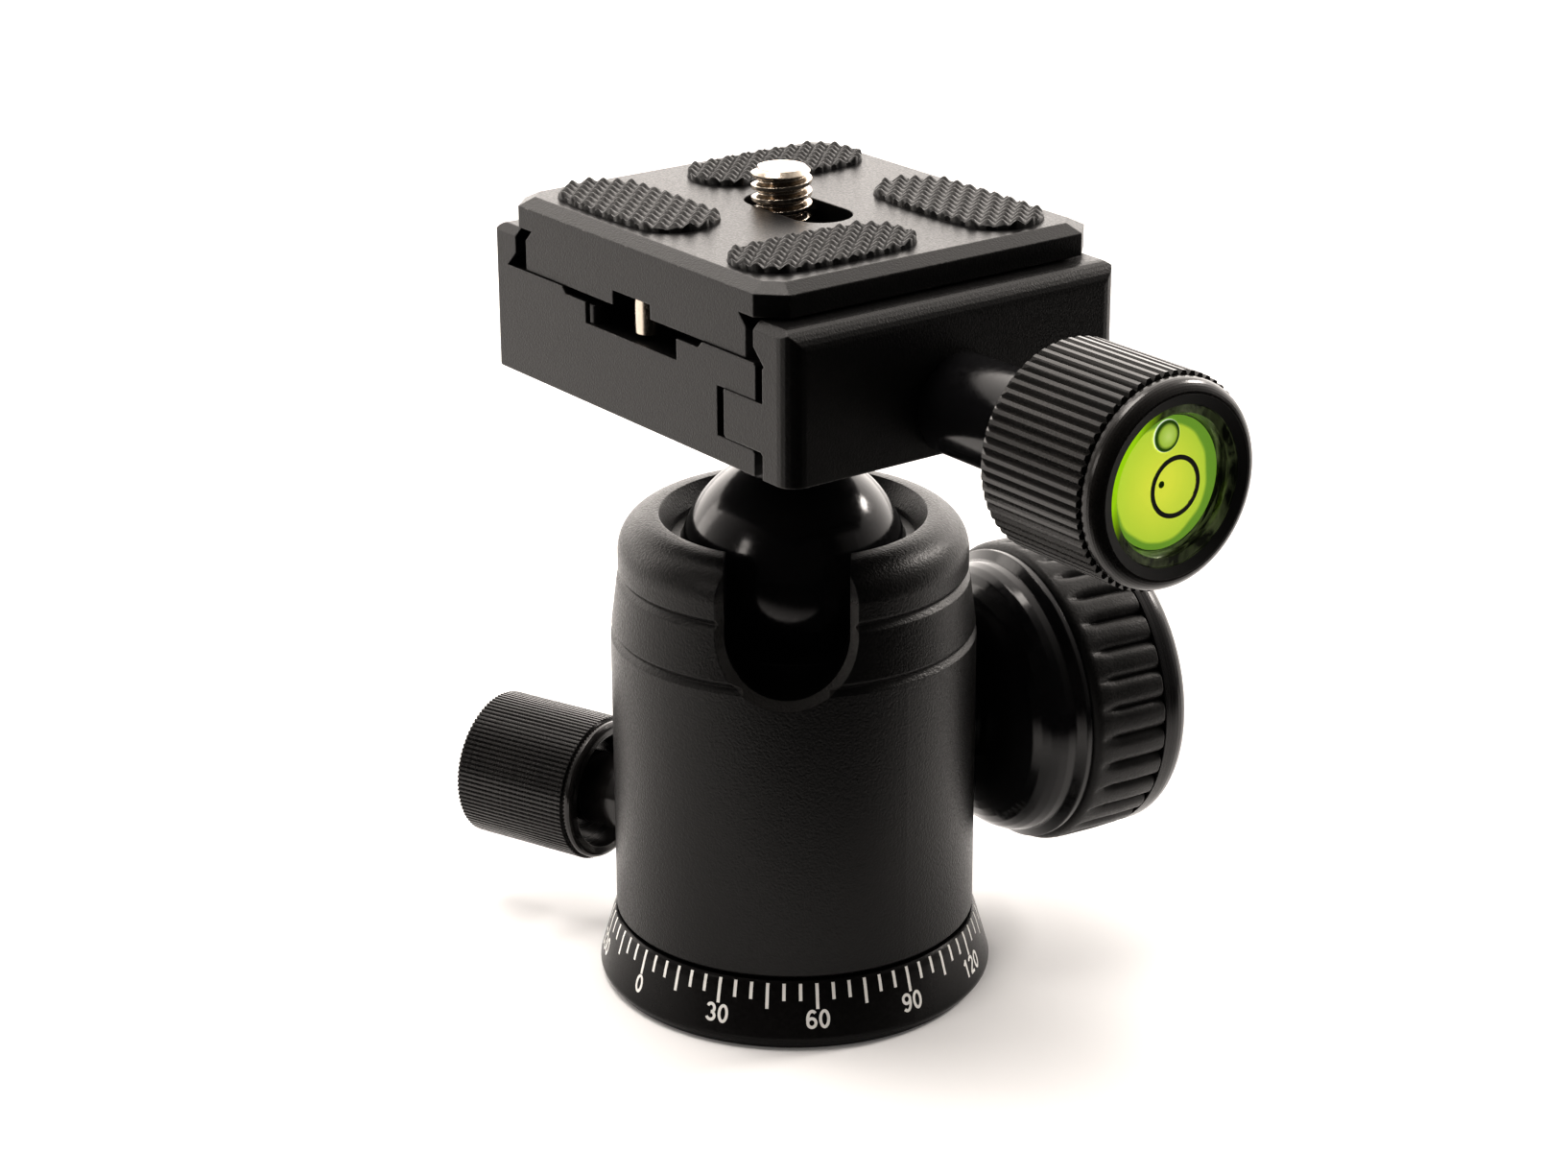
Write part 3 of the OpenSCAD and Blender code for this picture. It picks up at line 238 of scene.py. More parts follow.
def blank(name, **values):
    """A material with one Principled shader, its sockets set to values."""
    material = bpy.data.materials.new(name)
    material.use_nodes = True
    shader = first(material.node_tree, "BSDF_PRINCIPLED")
    for key, value in values.items():
        shader.inputs[key.replace("_", " ")].default_value = value
    material.diffuse_color = tuple(shader.inputs["Base Color"].default_value)
    return material, material.node_tree, shader


def grained(name, colour, lighter, roughness, spread, grain_mm, height_mm, edge_mm=0.25, polished=None, edge_lightening=0.0,
            turned=None, **values):
    """A metal or rubber skin: fine grain in height and gloss, cloudy change in colour, and softened edges.

    The colour goes from colour to lighter, and the roughness lies within spread of its middle. grain_mm is the size
    of the grain, height_mm its height and edge_mm the radius of the edges. polished is a direction, a distance along
    it in mm and the roughness that the skin has past that distance. edge_lightening is how far the sharp edges are
    made lighter, from 0 to 1. turned is a level axis, its azimuth and height in mm, that the grain runs round as the
    rings of a lathe tool do.
    """
    material, tree, shader = blank(name, Roughness=roughness, **values)
    place = spot = place_on(tree)
    if turned:
        # Each point is read at its distance from the axis and its place along it, so the grain becomes rings.
        axis = level_frame(*turned)
        along = vector_calc(tree, "DOT_PRODUCT", spot, tuple(axis[1][2]))
        place = add(tree, "ShaderNodeCombineXYZ", {"X": from_axis(tree, spot, axis), "Y": along}).outputs[0]
    cloud_mm, edge_break_mm = 9, 1.2
    fine = noise(tree, place, grain_mm, 2.0)
    cloud = noise(tree, spot, cloud_mm, 3.0)
    skin_colour = ramp(tree, calc(tree, "MULTIPLY", fine, cloud), (0.1, colour), (0.5, lighter))
    gloss = rise(tree, fine, 0.3, 0.7, roughness - spread, roughness + spread)
    soft = add(tree, "ShaderNodeBevel", {"Radius": edge_mm * MM}, samples=4).outputs["Normal"]
    if polished:
        direction, start, smooth = polished
        along = vector_calc(tree, "DOT_PRODUCT", spot, direction)
        gloss = mixed(tree, rise(tree, along, (start - 0.1) * MM, (start + 0.1) * MM), gloss, smooth)
    if edge_lightening:
        # The edge is where the softened direction leaves the true one. Noise breaks the lighter line up.
        true = add(tree, "ShaderNodeNewGeometry").outputs["True Normal"]
        edge = rise(tree, vector_calc(tree, "DOT_PRODUCT", true, soft), 0.97, 0.80)
        edge_breaks = rise(tree, noise(tree, spot, edge_break_mm, 4.0), 0.55, 0.68)
        amount = calc(tree, "MULTIPLY", calc(tree, "MULTIPLY", edge, edge_breaks), edge_lightening)
        skin_colour = mixed(tree, amount, skin_colour, linear("8d8a86"))
    bump = add(tree, "ShaderNodeBump", {"Height": fine, "Distance": height_mm * MM, "Strength": 1.0, "Normal": soft})
    tree.links.new(skin_colour, shader.inputs["Base Color"])
    tree.links.new(gloss, shader.inputs["Roughness"])
    tree.links.new(bump.outputs["Normal"], shader.inputs["Normal"])
    return material


def finish_where(material, where, colour, roughness):
    """Mixes a colour and a roughness into a material by a mask."""
    tree = material.node_tree
    shader = first(tree, "BSDF_PRINCIPLED")
    for key, value in (("Base Color", linear(colour)), ("Roughness", roughness)):
        old = shader.inputs[key].links[0].from_socket
        tree.links.new(mixed(tree, where, old, value), shader.inputs[key])


def cut_edges(material, colour, roughness):
    """Paints a highlight, with less roughness, on the notch's chamfer: the band between two distances from the slot's
    middle line.
    """
    tree = material.node_tree
    (_, _, middle), directions = level_frame(*NOTCH)
    spot = place_on(tree)
    side, up, out = (vector_calc(tree, "DOT_PRODUCT", spot, tuple(direction)) for direction in directions)
    # Under the middle of the slot's round end the distance is taken from that middle, above it from the line.
    below = calc(tree, "MINIMUM", calc(tree, "SUBTRACT", up, middle * MM), 0.0)
    away = vector_calc(tree, "LENGTH", add(tree, "ShaderNodeCombineXYZ", {"X": side, "Y": below}).outputs[0])
    # The band starts at the slot's wall and stops at the chamfer's outer edge. It lies on the outside of the housing
    # only, and fades out under the rim.
    wall, outer_edge, outside, rim = (6.41, 6.44), (7.34, 7.28), (14.0, 14.1), (49.6, 48.4)
    cut = 1.0
    for value, (low, high) in ((away, wall), (away, outer_edge), (out, outside), (up, rim)):
        cut = calc(tree, "MULTIPLY", cut, rise(tree, value, low * MM, high * MM))
    finish_where(material, cut, colour, roughness)


def dull_seat(material, axis, reach, colour, roughness):
    """Paints shade on a knob's window seat, darker and duller: all that is nearer to the knob's level axis than reach,
    in mm.
    """
    tree = material.node_tree
    away = from_axis(tree, place_on(tree), level_frame(*axis))
    finish_where(material, rise(tree, away, (reach + 0.05) * MM, (reach - 0.05) * MM), colour, roughness)


# ---------------------------------------------------------------- settings


class Finishes(bpy.types.PropertyGroup):
    anodised: StringProperty(name="Anodising", description="sRGB colour of the sand-blasted anodising",
                             default="060606")
    anodised_light: StringProperty(name="Anodising, high spots", description="sRGB colour of its grain",
                                   default="0f0e0e")
    gloss: StringProperty(name="Gloss black", description="sRGB colour of the polished black parts", default="121213")
    rubber: StringProperty(name="Rubber", description="sRGB colour of the grips and pads", default="0b0b0b")
    nickel: StringProperty(name="Nickel", description="sRGB colour of the camera screw", default="bcb0a2")
    print_white: StringProperty(name="Print", description="sRGB colour of the pan scale", default="efeeea")
    fluid: StringProperty(name="Level fluid", description="sRGB colour of the fluid", default="d0d250")
    # The fluid's glow is painted light: it makes the fluid give out light though it is no lamp.
    fluid_glow: FloatProperty(name="Fluid painted glow", description="Brightness that the dye gives out", default=1.0)


class GripSettings(bpy.types.PropertyGroup):
    stud_pitch: FloatProperty(name="Stud spacing", description="From stud to stud", default=1.5 * MM, unit="LENGTH")
    stud_height: FloatProperty(name="Stud height", description="Height of a stud", default=0.7 * MM, unit="LENGTH")
    lobes: IntProperty(name="Lobes", description="Number of lobes on the lock's grip", default=32, min=8)
    groove: FloatProperty(name="Groove", description="Depth between the lobes", default=0.75 * MM, unit="LENGTH")


class DialSettings(bpy.types.PropertyGroup):
    step: IntProperty(name="Tick step", description="Degrees between ticks", default=5, min=1)
    label_step: IntProperty(name="Label step", description="Degrees between numbers", default=30, min=5)
    tick_top: FloatProperty(name="Tick top", description="Height of the ticks' tops", default=7.0 * MM, unit="LENGTH")
    tick_short: FloatProperty(name="Short tick", description="Height of a short tick's foot", default=5.27 * MM,
                              unit="LENGTH")
    tick_long: FloatProperty(name="Long tick", description="Height of a long tick's foot", default=4.4 * MM,
                             unit="LENGTH")
    tick_width: FloatProperty(name="Tick width", description="Width of a tick", default=0.36 * MM, unit="LENGTH")
    digit_height: FloatProperty(name="Digit height", description="Height of a number", default=1.95 * MM, unit="LENGTH")


class StageSettings(bpy.types.PropertyGroup):
    room_low: FloatProperty(name="Room, front", description="Brightness of the dark side of the room", default=0.025)
    room_high: FloatProperty(name="Room, back", description="Brightness added behind the object", default=3.7)
    room_power: FloatProperty(name="Room falloff", description="How quickly the room darkens to the front", default=2.6)
    glow: FloatProperty(name="Floor glow", description="Brightness that the floor gives out", default=0.03)
    card: FloatProperty(name="Card edge", description="Where the black card begins", default=0.078, unit="LENGTH")
    top: FloatProperty(name="Top light", description="Power of the overhead softbox", default=4.4, unit="POWER")
    left: FloatProperty(name="Left light", description="Power of the left strip light", default=1.0, unit="POWER")
    right: FloatProperty(name="Right light", description="Power of the high right light", default=4.2, unit="POWER")
    fill: FloatProperty(name="Fill light", description="Power of the small softbox at the front left", default=0.55,
                        unit="POWER")
    focal_length: FloatProperty(name="Focal length", description="Lens of the camera, in mm", default=79.571)


# ---------------------------------------------------------------- pieces


class HEAD_OT_metalwork(bpy.types.Operator):
    """Gives the turned and milled metal parts their finishes"""

    bl_idname = "head.metalwork"
    bl_label = "Metalwork"

    def execute(self, context):
        f = context.scene.head_finishes
        # Sand-blasted, anodised aluminium: matt, with a fine sparkle and soft edges.
        housing = grained("Sandblasted black anodised aluminium", f.anodised, f.anodised_light, roughness=0.36,
                          spread=0.08, grain_mm=0.26, height_mm=0.05, Specular_IOR_Level=0.27)
        # The chamfer round the notch is milled after the blasting, so it is smoother; its lighter colour is a painted
        # highlight.
        cut_edges(housing, "3b3a39", roughness=0.24)
        # Bead-blasted and anodised after milling: a little smoother than the housing, with its sharp edges made
        # lighter.
        clamp = grained("Bead-blasted black anodised aluminium", "0a0a0a", "121111", roughness=0.36, spread=0.06,
                        grain_mm=0.22, height_mm=0.03, edge_lightening=0.5, Specular_IOR_Level=0.3)
        # Turned, anodised and burnished: a soft mirror.
        gloss = grained("Burnished black anodised aluminium", f.gloss, "18181a", roughness=0.16, spread=0.04,
                        grain_mm=0.5, height_mm=0.002, edge_mm=0.3, Specular_IOR_Level=0.42)
        # The base is burnished less, so it mirrors less.
        satin = grained("Satin black anodised aluminium", "0f0e0e", "171616", roughness=0.22, spread=0.05,
                        grain_mm=0.4, height_mm=0.006, edge_mm=0.3, Specular_IOR_Level=0.15)
        # Turned knobs: satin ridges, and a rim that the tool left brighter. The level's seat in the clamp's knob is
        # darkened to
        # a dead, dull black: painted shade round the level's window.
        ridged = grained("Ridged black anodised aluminium", "1d1c1b", "302e2c", roughness=0.22, spread=0.05,
                         grain_mm=0.25, height_mm=0.003, edge_mm=0.03, polished=((1, 0, 0), 56.5, 0.22))
        dull_seat(ridged, CLAMP_KNOB, 8.75, "050505", roughness=0.7)
        # The knurled pan knob is polished on its neck, where it is less than 25.7 mm from the pan axis.
        knurled = grained("Knurled black anodised aluminium", "121111", "262423", roughness=0.24, spread=0.07,
                          grain_mm=0.22, height_mm=0.006, edge_mm=0.06, turned=PAN_KNOB,
                          polished=((0.9336, 0.3584, 0), -25.7, 0.15))
        # Faced on a lathe: fine rings round the knob's middle that spread its highlight.
        faced = grained("Faced black anodised aluminium", f.gloss, "1b1a1a", roughness=0.24, spread=0.12,
                        grain_mm=0.35, height_mm=0.012, edge_mm=0.2, turned=LOCK_KNOB, Specular_IOR_Level=0.3)
        # Moulded plastic: an even, slightly waxy black.
        acetal = grained("Black acetal", "0d0d0e", "131313", roughness=0.4, spread=0.05, grain_mm=0.6,
                         height_mm=0.004)
        # Turned steel and brass: bright, with the fine grain of the tool.
        steel = grained("Turned steel", "8f8f92", "a8a8aa", roughness=0.3, spread=0.06, grain_mm=0.25,
                        height_mm=0.004, Metallic=1.0)
        brass = grained("Turned brass", "a98c4f", "bfa163", roughness=0.28, spread=0.05, grain_mm=0.25,
                        height_mm=0.004, Metallic=1.0)
        # Plated steel: warmer and smoother than the bare steel.
        nickel = grained("Nickel-plated steel", f.nickel, "d2c8ba", roughness=0.2, spread=0.05, grain_mm=0.3,
                         height_mm=0.003, edge_mm=0.08, Metallic=1.0)
        wear(["housing"], housing)
        wear(["clamp_body", "sliding_jaw", "plate"], clamp)
        wear(["clamp_knob"], ridged)
        wear(["pan_knob"], knurled)
        wear(["pan_base"], satin)
        wear(["clamp_sleeve", "lock_hub", "ball", "ball_stem", "stop_pins", "lock_bush", "pan_screw"], gloss)
        wear(["lock_cap"], faced)
        wear(["upper_ball_ring", "lower_ball_cup", "pan_brake_pad"], acetal)
        wear(["pan_spindle", "spindle_screws", "retaining_ring", "lock_wedge", "lock_screw", "clamp_bolt",
              "guide_pins", "clamp_screw", "screw_keeper"], steel)
        wear(["pan_bearing"], brass)
        wear(["stop_screws"], nickel)
        return {"FINISHED"}


def pad_rows(length, width, foot, edge, top, pitch):
    """Rows across a rubber pad from end to end, each from its right foot over the studs to its left foot, in mm.

    The outline is a slot whose long sides bow: half its width is the least of the round end and an arc of three
    lengths' radius. A stud falls from its middle by the fourth-power mean of its distances along the two diagonals.
    """
    half, end, bow = length / 2, width / 2, 3 * length
    row_count, point_count = 117, 45
    # The rows crowd towards the ends: x = half (1.35 s - 0.35 s^3).
    s = np.linspace(-1, 1, row_count)
    x = half * s * (1.35 - 0.35 * s ** 2)
    round_end = np.sqrt(np.clip(end ** 2 - np.clip(np.abs(x) - (half - end), 0, None) ** 2, 0, None))
    reach = np.clip(np.minimum(round_end, end - bow + np.sqrt(bow ** 2 - x ** 2)), 0.1, None)[:, None]
    y = np.linspace(1, -1, point_count) * reach
    x = np.broadcast_to(x[:, None], y.shape)
    # The diagonals cross in each stud's middle, where both distances are 0. Half way to the next stud they are 1.
    off = [np.abs(((x + sign * y) / np.sqrt(2) / pitch) % 1 - 0.5) * 2 for sign in (1, -1)]
    drop = np.sqrt((off[0] ** 4 + off[1] ** 4) ** 0.5 + 0.03)
    z = edge + (top - edge) * np.clip(1.17 - drop, 0, 1)
    feet = [np.stack([x[:, i], y[:, i], np.full(len(x), foot)], -1)[:, None] for i in (0, -1)]
    return np.concatenate([feet[0], np.stack([x, y, z], -1), feet[1]], 1)


class HEAD_OT_pads(bpy.types.Operator):
    """Moulds the plate's four rubber pads with their fields of small studs"""

    bl_idname = "head.pads"
    bl_label = "Grip pads"

    def execute(self, context):
        f, g = context.scene.head_finishes, context.scene.head_grip
        # Moulded rubber: dull and finely pitted.
        rubber = grained("Moulded rubber", f.rubber, "1a1918", roughness=0.46, spread=0.1, grain_mm=0.25,
                         height_mm=0.03, edge_mm=0.1, Specular_IOR_Level=0.3)
        for node in ("pad_front_left", "pad_front_right", "pad_back_right", "pad_back_left"):
            lo, hi = np.array(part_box(node)) / MM
            size, middle = hi - lo, (lo + hi) / 2
            rows = pad_rows(max(size[:2]), min(size[:2]), lo[2], hi[2] - g.stud_height / MM, hi[2], g.stud_pitch / MM)
            if size[1] > size[0]:
                # A quarter turn about the upright axis lays the pad along Y.
                rows = np.stack([-rows[..., 1], rows[..., 0], rows[..., 2]], -1)
            rows[..., :2] += middle[:2]
            skin(f"{node}_rubber", "plate", rows, sharp=75, like=[node], material=rubber)
        return {"FINISHED"}


class HEAD_OT_lock_grip(bpy.types.Operator):
    """Moulds the ball-lock knob's rubber grip"""

    bl_idname = "head.lock_grip"
    bl_label = "Lock grip"

    def execute(self, context):
        g = context.scene.head_grip
        # Profile along the knob's axis: bore, rounded inner edge, side, outer edge, back to the bore.
        t0, t1, bore, side = 27.9, 37.1, 13.55, 17.0
        steps, side_count, points_per_lobe = 7, 20, 14
        profile = rounded([[bore, t0], [side - 0.1, t0], [side, 30.5], [side, 33.5], [side - 0.15, t1], [bore, t1]],
                          [0, 1.3, 0.4, 0.4, 0.25, 0], steps)
        # Between the two edges, even rows run straight along the side.
        inner, outer = steps + 1, -steps - 1
        side_rows = np.linspace(profile[inner], profile[outer - 1], side_count)
        profile = np.concatenate([profile[:inner], side_rows, profile[outer:]])
        count = g.lobes * points_per_lobe
        lobe = np.abs(np.arange(count) * g.lobes / count % 1 - 0.5) * 2
        # The grooves between the lobes start 0.9 mm from the hub, have their full depth 2.4 mm further on, and run
        # out at the cap: r = profile - depth |lobe|^3.2.
        t = profile[:, 1:]
        depth = g.groove / MM * np.clip((t - t0 - 0.9) / 2.4, 0, 1) ** 0.7 * (profile[:, :1] > bore + 1)
        radius = profile[:, :1] - depth * lobe ** 3.2
        rows = rings(level_frame(*LOCK_KNOB), radius, profile[:, 1], count)
        skin("lock_grip_rubber", "lock_knob", rows, looped=True, sharp=60, like=["lock_grip"],
             material=bpy.data.materials["Moulded rubber"])
        return {"FINISHED"}


class HEAD_OT_tripod_insert(bpy.types.Operator):
    """Cuts the thread of the tripod socket"""

    bl_idname = "head.tripod_insert"
    bl_label = "Tripod socket"

    def execute(self, context):
        (x0, _, z0), (x1, _, z1) = np.array(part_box("tripod_insert")) / MM
        # An inner thread of 16 turns to the inch, open at both ends.
        n, pitch, crest, root = 72, 25.4 / 16, 3.97, 4.72
        outer, mouth, lead = (x1 - x0) / 2, root + 0.2, 0.8
        t = np.linspace(z1 - lead, z0 + lead, 110)[:, None]
        ends = np.array([[outer, z0], [outer, z1 - 0.1], [outer - 0.1, z1], [mouth, z1]])
        radius = np.concatenate([np.repeat(ends[:, :1], n, 1), thread(t, pitch, n, crest, root, 1.3, 0.15),
                                 np.full((1, n), mouth)])
        along = np.concatenate([ends[:, 1], t[:, 0], [z0]])
        skin("tripod_thread", "base", rings(upright_frame(0, 0), radius, along, n), looped=True, sharp=50,
             like=["tripod_insert"], material=bpy.data.materials["Turned brass"])
        return {"FINISHED"}


def base_radius(z):
    """Radius of the base's side at a height, in mm: the cone, its chamfer and its top edge."""
    return np.interp(z, BASE_HEIGHTS, BASE_RADII)


def wrapped(x, z, azimuth):
    """Points at arc length x and height z on the base's side, in mm, raised by the thickness of a layer of ink."""
    ink = 0.012
    r = base_radius(z)
    a = radians(azimuth) + x / r
    return np.stack([(r + ink) * np.cos(a), (r + ink) * np.sin(a), z + 0 * r], -1)


# The strokes of each digit in a box 0.6 wide and 1 high. Four numbers are a line from one point to another. Six are
# an arc: its centre, its two radii, and its first and last angle in degrees.
STROKES = {
    "0": [(0.3, 0.5, 0.22, 0.42, 0, 360)],
    "1": [(0.38, 0.0, 0.38, 1.0), (0.38, 0.93, 0.16, 0.74)],
    "2": [(0.3, 0.69, 0.21, 0.23, 165, -35), (0.47, 0.56, 0.1, 0.1), (0.06, 0.08, 0.54, 0.08)],
    "3": [(0.28, 0.7, 0.2, 0.22, 160, -90), (0.28, 0.29, 0.23, 0.21, 90, -160)],
    "4": [(0.43, 0.0, 0.43, 1.0), (0.41, 0.95, 0.08, 0.34), (0.03, 0.3, 0.58, 0.3)],
    "5": [(0.52, 0.92, 0.14, 0.92), (0.17, 0.95, 0.12, 0.5), (0.28, 0.33, 0.23, 0.25, 130, -160)],
    "6": [(0.3, 0.31, 0.22, 0.23, 0, 360), (0.34, 0.46, 0.26, 0.46, 190, 50)],
    "7": [(0.06, 0.92, 0.55, 0.92), (0.5, 0.9, 0.22, 0.0)],
    "8": [(0.3, 0.71, 0.18, 0.21, 0, 360), (0.3, 0.29, 0.22, 0.21, 0, 360)],
    "9": [(0.3, 0.69, 0.22, 0.23, 0, 360), (0.26, 0.54, 0.26, 0.46, 10, -130)],
}


def number(text, width):
    """Ribbons that write a number about the middle: points half a width to each side of every stroke's line."""
    points, faces, count = [], [], 0
    spacing = 0.7
    for place, digit in enumerate(text):
        for stroke in STROKES[digit]:
            if len(stroke) == 4:
                line = np.linspace(stroke[:2], stroke[2:], 4)
            else:
                a = np.radians(np.linspace(stroke[4], stroke[5], 33))
                line = np.stack([stroke[0] + stroke[2] * np.cos(a), stroke[1] + stroke[3] * np.sin(a)], -1)
            along = np.gradient(line, axis=0)
            if len(stroke) == 6 and abs(stroke[5] - stroke[4]) == 360:
                along[0] = along[-1] = along[0] + along[-1]
            across = np.stack([-along[:, 1], along[:, 0]], -1) / np.linalg.norm(along, axis=1, keepdims=True)
            line = line + [spacing * (place - (len(text) - 1) / 2) - 0.3, -0.5]
            # The left side of a stroke comes second, so that each face turns outwards.
            points.append(np.stack([line - across * width / 2, line + across * width / 2], 1).reshape(-1, 2))
            k = count + 2 * np.arange(len(line) - 1)
            faces += np.stack([k, k + 2, k + 3, k + 1], -1).tolist()
            count += 2 * len(line)
    return points, faces


class HEAD_OT_dial(bpy.types.Operator):
    """Prints the pan scale round the base"""

    bl_idname = "head.dial"
    bl_label = "Pan scale"

    def execute(self, context):
        f, d = context.scene.head_finishes, context.scene.head_dial
        # Screen-printed ink: an even white, slightly dull.
        ink, _, _ = blank("White printing ink", Base_Color=linear(f.print_white), Roughness=0.55)
        points, faces = [], []
        half = d.tick_width / MM / 2
        _, chamfer, top_edge, _ = BASE_HEIGHTS
        for degree in range(0, 360, d.step):
            foot = (d.tick_long if degree % (3 * d.step) == 0 else d.tick_short) / MM
            z = np.array([foot, chamfer, 6.62, top_edge, d.tick_top / MM])
            x, z = np.meshgrid([-half, half], z)
            start = sum(len(p) for p in points)
            points.append(wrapped(x, z, degree - 90).reshape(-1, 3))
            k = start + 2 * np.arange(len(z) - 1)
            faces += np.stack([k, k + 1, k + 3, k + 2], -1).tolist()
        mesh = bpy.data.meshes.new("pan_ticks")
        mesh.from_pydata((np.concatenate(points) * MM).tolist(), [], faces)
        piece("pan_ticks", "base", mesh, material=ink)
        stroke_width, middle = 0.17, 3.37
        for degree in range(0, 360, d.label_step):
            outline, faces = number(str(degree), stroke_width)
            x, z = (np.concatenate(outline) * d.digit_height / MM).T
            mesh = bpy.data.meshes.new(f"pan_number_{degree}")
            mesh.from_pydata((wrapped(x, middle + z, degree - 90) * MM).tolist(), [], faces)
            piece(mesh.name, "base", mesh, material=ink)
        return {"FINISHED"}


def glow(tree, shader, colour):
    """Gives a shader one colour for the light that it reflects and for a painted glow that it gives out, though it is
    no lamp.
    """
    for key in ("Base Color", "Emission Color"):
        tree.links.new(colour, shader.inputs[key])


def level_materials(colour, strength, axis, radius, lift, reach):
    """The materials of the level's fluid, of the wall round it and of its bubble, whose axis is at height lift."""
    origin, directions = axis
    # Dyed mineral spirit: a lime with a painted glow, and painted shade that makes it darker and greener towards its
    # edge. Its brightest spot, a painted highlight, lies to one side, and noise makes the distance from that spot
    # uneven.
    fluid, tree, shader = blank("Level fluid with painted glow and shade", Roughness=0.2, IOR=1.4, Emission_Strength=strength)
    place = place_on(tree)
    away = from_axis(tree, place, (origin + [0, -0.4, 0], directions))
    away = calc(tree, "MULTIPLY_ADD", noise(tree, place, 5, 1.0), 1.2 * MM, away)
    lime = ramp(tree, rise(tree, away, 0.0, radius * MM), (0.3, colour), (0.95, "b2c448"), (1.0, "6d9238"))
    glow(tree, shader, lime)
    # The acrylic's cut wall round the fluid: smoky, with turning streaks and a painted glow, and a painted lime
    # highlight on one side towards the top.
    wall, tree, shader = blank("Smoky acrylic wall with painted glow and highlight", Roughness=0.12, IOR=1.49, Emission_Strength=0.6)
    place = add(tree, "ShaderNodeMapping", {"Vector": place_on(tree), "Location": tuple(-origin * MM)}).outputs[0]
    thin = add(tree, "ShaderNodeMapping", {"Vector": place, "Scale": (3.0, 1.0, 0.6)}).outputs[0]
    smoke = ramp(tree, noise(tree, thin, 2.2, 3.0, Distortion=0.6), (0.42, "0b0d08"), (0.78, "5a6146"))
    lit = vector_calc(tree, "DOT_PRODUCT", place, (0, -0.92, 0.39))
    glow(tree, shader, mixed(tree, rise(tree, lit, 4.4 * MM, 6.6 * MM), smoke, linear("b0e020")))
    # Air in the fluid, with a painted glow: pale in the middle, with painted dark green shade at its rim and a painted
    # white highlight line round it.
    air, tree, shader = blank("Air bubble with painted glow, shade and highlight", Roughness=0.05, IOR=1.4, Emission_Strength=0.8)
    away = from_axis(tree, place_on(tree), (np.array([0, 0, lift]), directions))
    bubble_painted_light = (0.0, "c3d67c"), (0.62, "a4bd4c"), (0.8, "2a4512"), (0.93, "35551a"), (1.0, "ffffff")
    glow(tree, shader, ramp(tree, rise(tree, away, 0.0, reach * MM), *bubble_painted_light))
    return fluid, wall, air


class HEAD_OT_level(bpy.types.Operator):
    """Finishes the round level in the clamp's knob"""

    bl_idname = "head.level"
    bl_label = "Level"

    def execute(self, context):
        f = context.scene.head_finishes
        box = {node: np.array(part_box(node)) / MM for node in ("level_liquid", "level_bubble", "level_case")}
        (x0, y0, z0), (x1, y1, z1) = box["level_liquid"]
        axis = level_frame(CLAMP_KNOB[0], (z0 + z1) / 2)
        radius, n = (y1 - y0) / 2, 96
        lift = box["level_bubble"].mean(0)[2]
        reach = (box["level_bubble"][1, 1] - box["level_bubble"][0, 1]) / 2
        fluid, wall, air = level_materials(f.fluid, f.fluid_glow, axis, radius, lift, reach)
        # Polished acrylic: clear, with a faint green cast in its depth.
        acrylic, _, _ = blank("Polished clear acrylic", Base_Color=linear("f4faea"), Roughness=0.02, IOR=1.49,
                              Transmission_Weight=1.0)
        # Printing ink: a flat black line.
        line, _, _ = blank("Black printed line", Base_Color=linear("050505"), Roughness=0.7)
        wear(["level_case"], acrylic)
        wear(["level_circle"], line)
        # The fluid is a disc whose front is dented by the bubble. The bubble is a flattened ball in that dent.
        above, dent, bulge, gap = lift - (z0 + z1) / 2, 0.5, 0.45, 0.02
        ring = np.concatenate([[radius, radius], np.linspace(radius - 0.05, gap, 40)])[:, None]
        a = np.arange(n) / n * TAU
        # Across the front: y = r cos a, z = r sin a, and the dent is half an ellipse over the distance to the bubble.
        away = np.hypot(ring * np.cos(a), ring * np.sin(a) - above) / reach
        along = x1 - dent * np.sqrt(np.clip(1 - away ** 2, 0, 1))
        along[0], along[1] = x0, x1
        skin("level_fluid", "clamp_knob", rings(axis, np.broadcast_to(ring, along.shape), along, n), sharp=50,
             like=["level_liquid"], material=fluid)
        p = np.linspace(-np.pi / 2 + 0.03, np.pi / 2 - 0.03, 25)
        centre = (axis[0] + [0, 0, above], axis[1])
        skin("level_air", "clamp_knob", rings(centre, (reach - gap) * np.cos(p), x1 - gap + bulge * np.sin(p), 64),
             like=["level_bubble"], material=air)
        # A second, tiny bubble rests near the middle.
        p = np.linspace(-np.pi / 2 + 0.05, np.pi / 2 - 0.05, 11)
        speck = (axis[0] + [0, -0.45, -0.1], axis[1])
        skin("level_speck", "clamp_knob", rings(speck, 0.34 * np.cos(p), x1 + 0.02 + 0.12 * np.sin(p), 32),
             material=blank("Tiny bubble", Base_Color=linear("5a7a24"), Roughness=0.45)[0])
        # The wall round the fluid: a funnel that opens from the fluid's edge to the window's edge.
        front, outer = box["level_case"][1, 0] - 0.35, (box["level_case"][1, 1] - box["level_case"][0, 1]) / 2 - 0.06
        inner, back = radius + 0.03, x1 - 0.6
        funnel = np.array([[inner, back], [inner, x1 - 0.03], [outer - 0.8, front - 0.15], [outer, front],
                           [outer, back]])
        skin("level_wall", "clamp_knob", rings(axis, funnel[:, 0], funnel[:, 1], n), looped=True, sharp=40,
             material=wall)
        return {"FINISHED"}


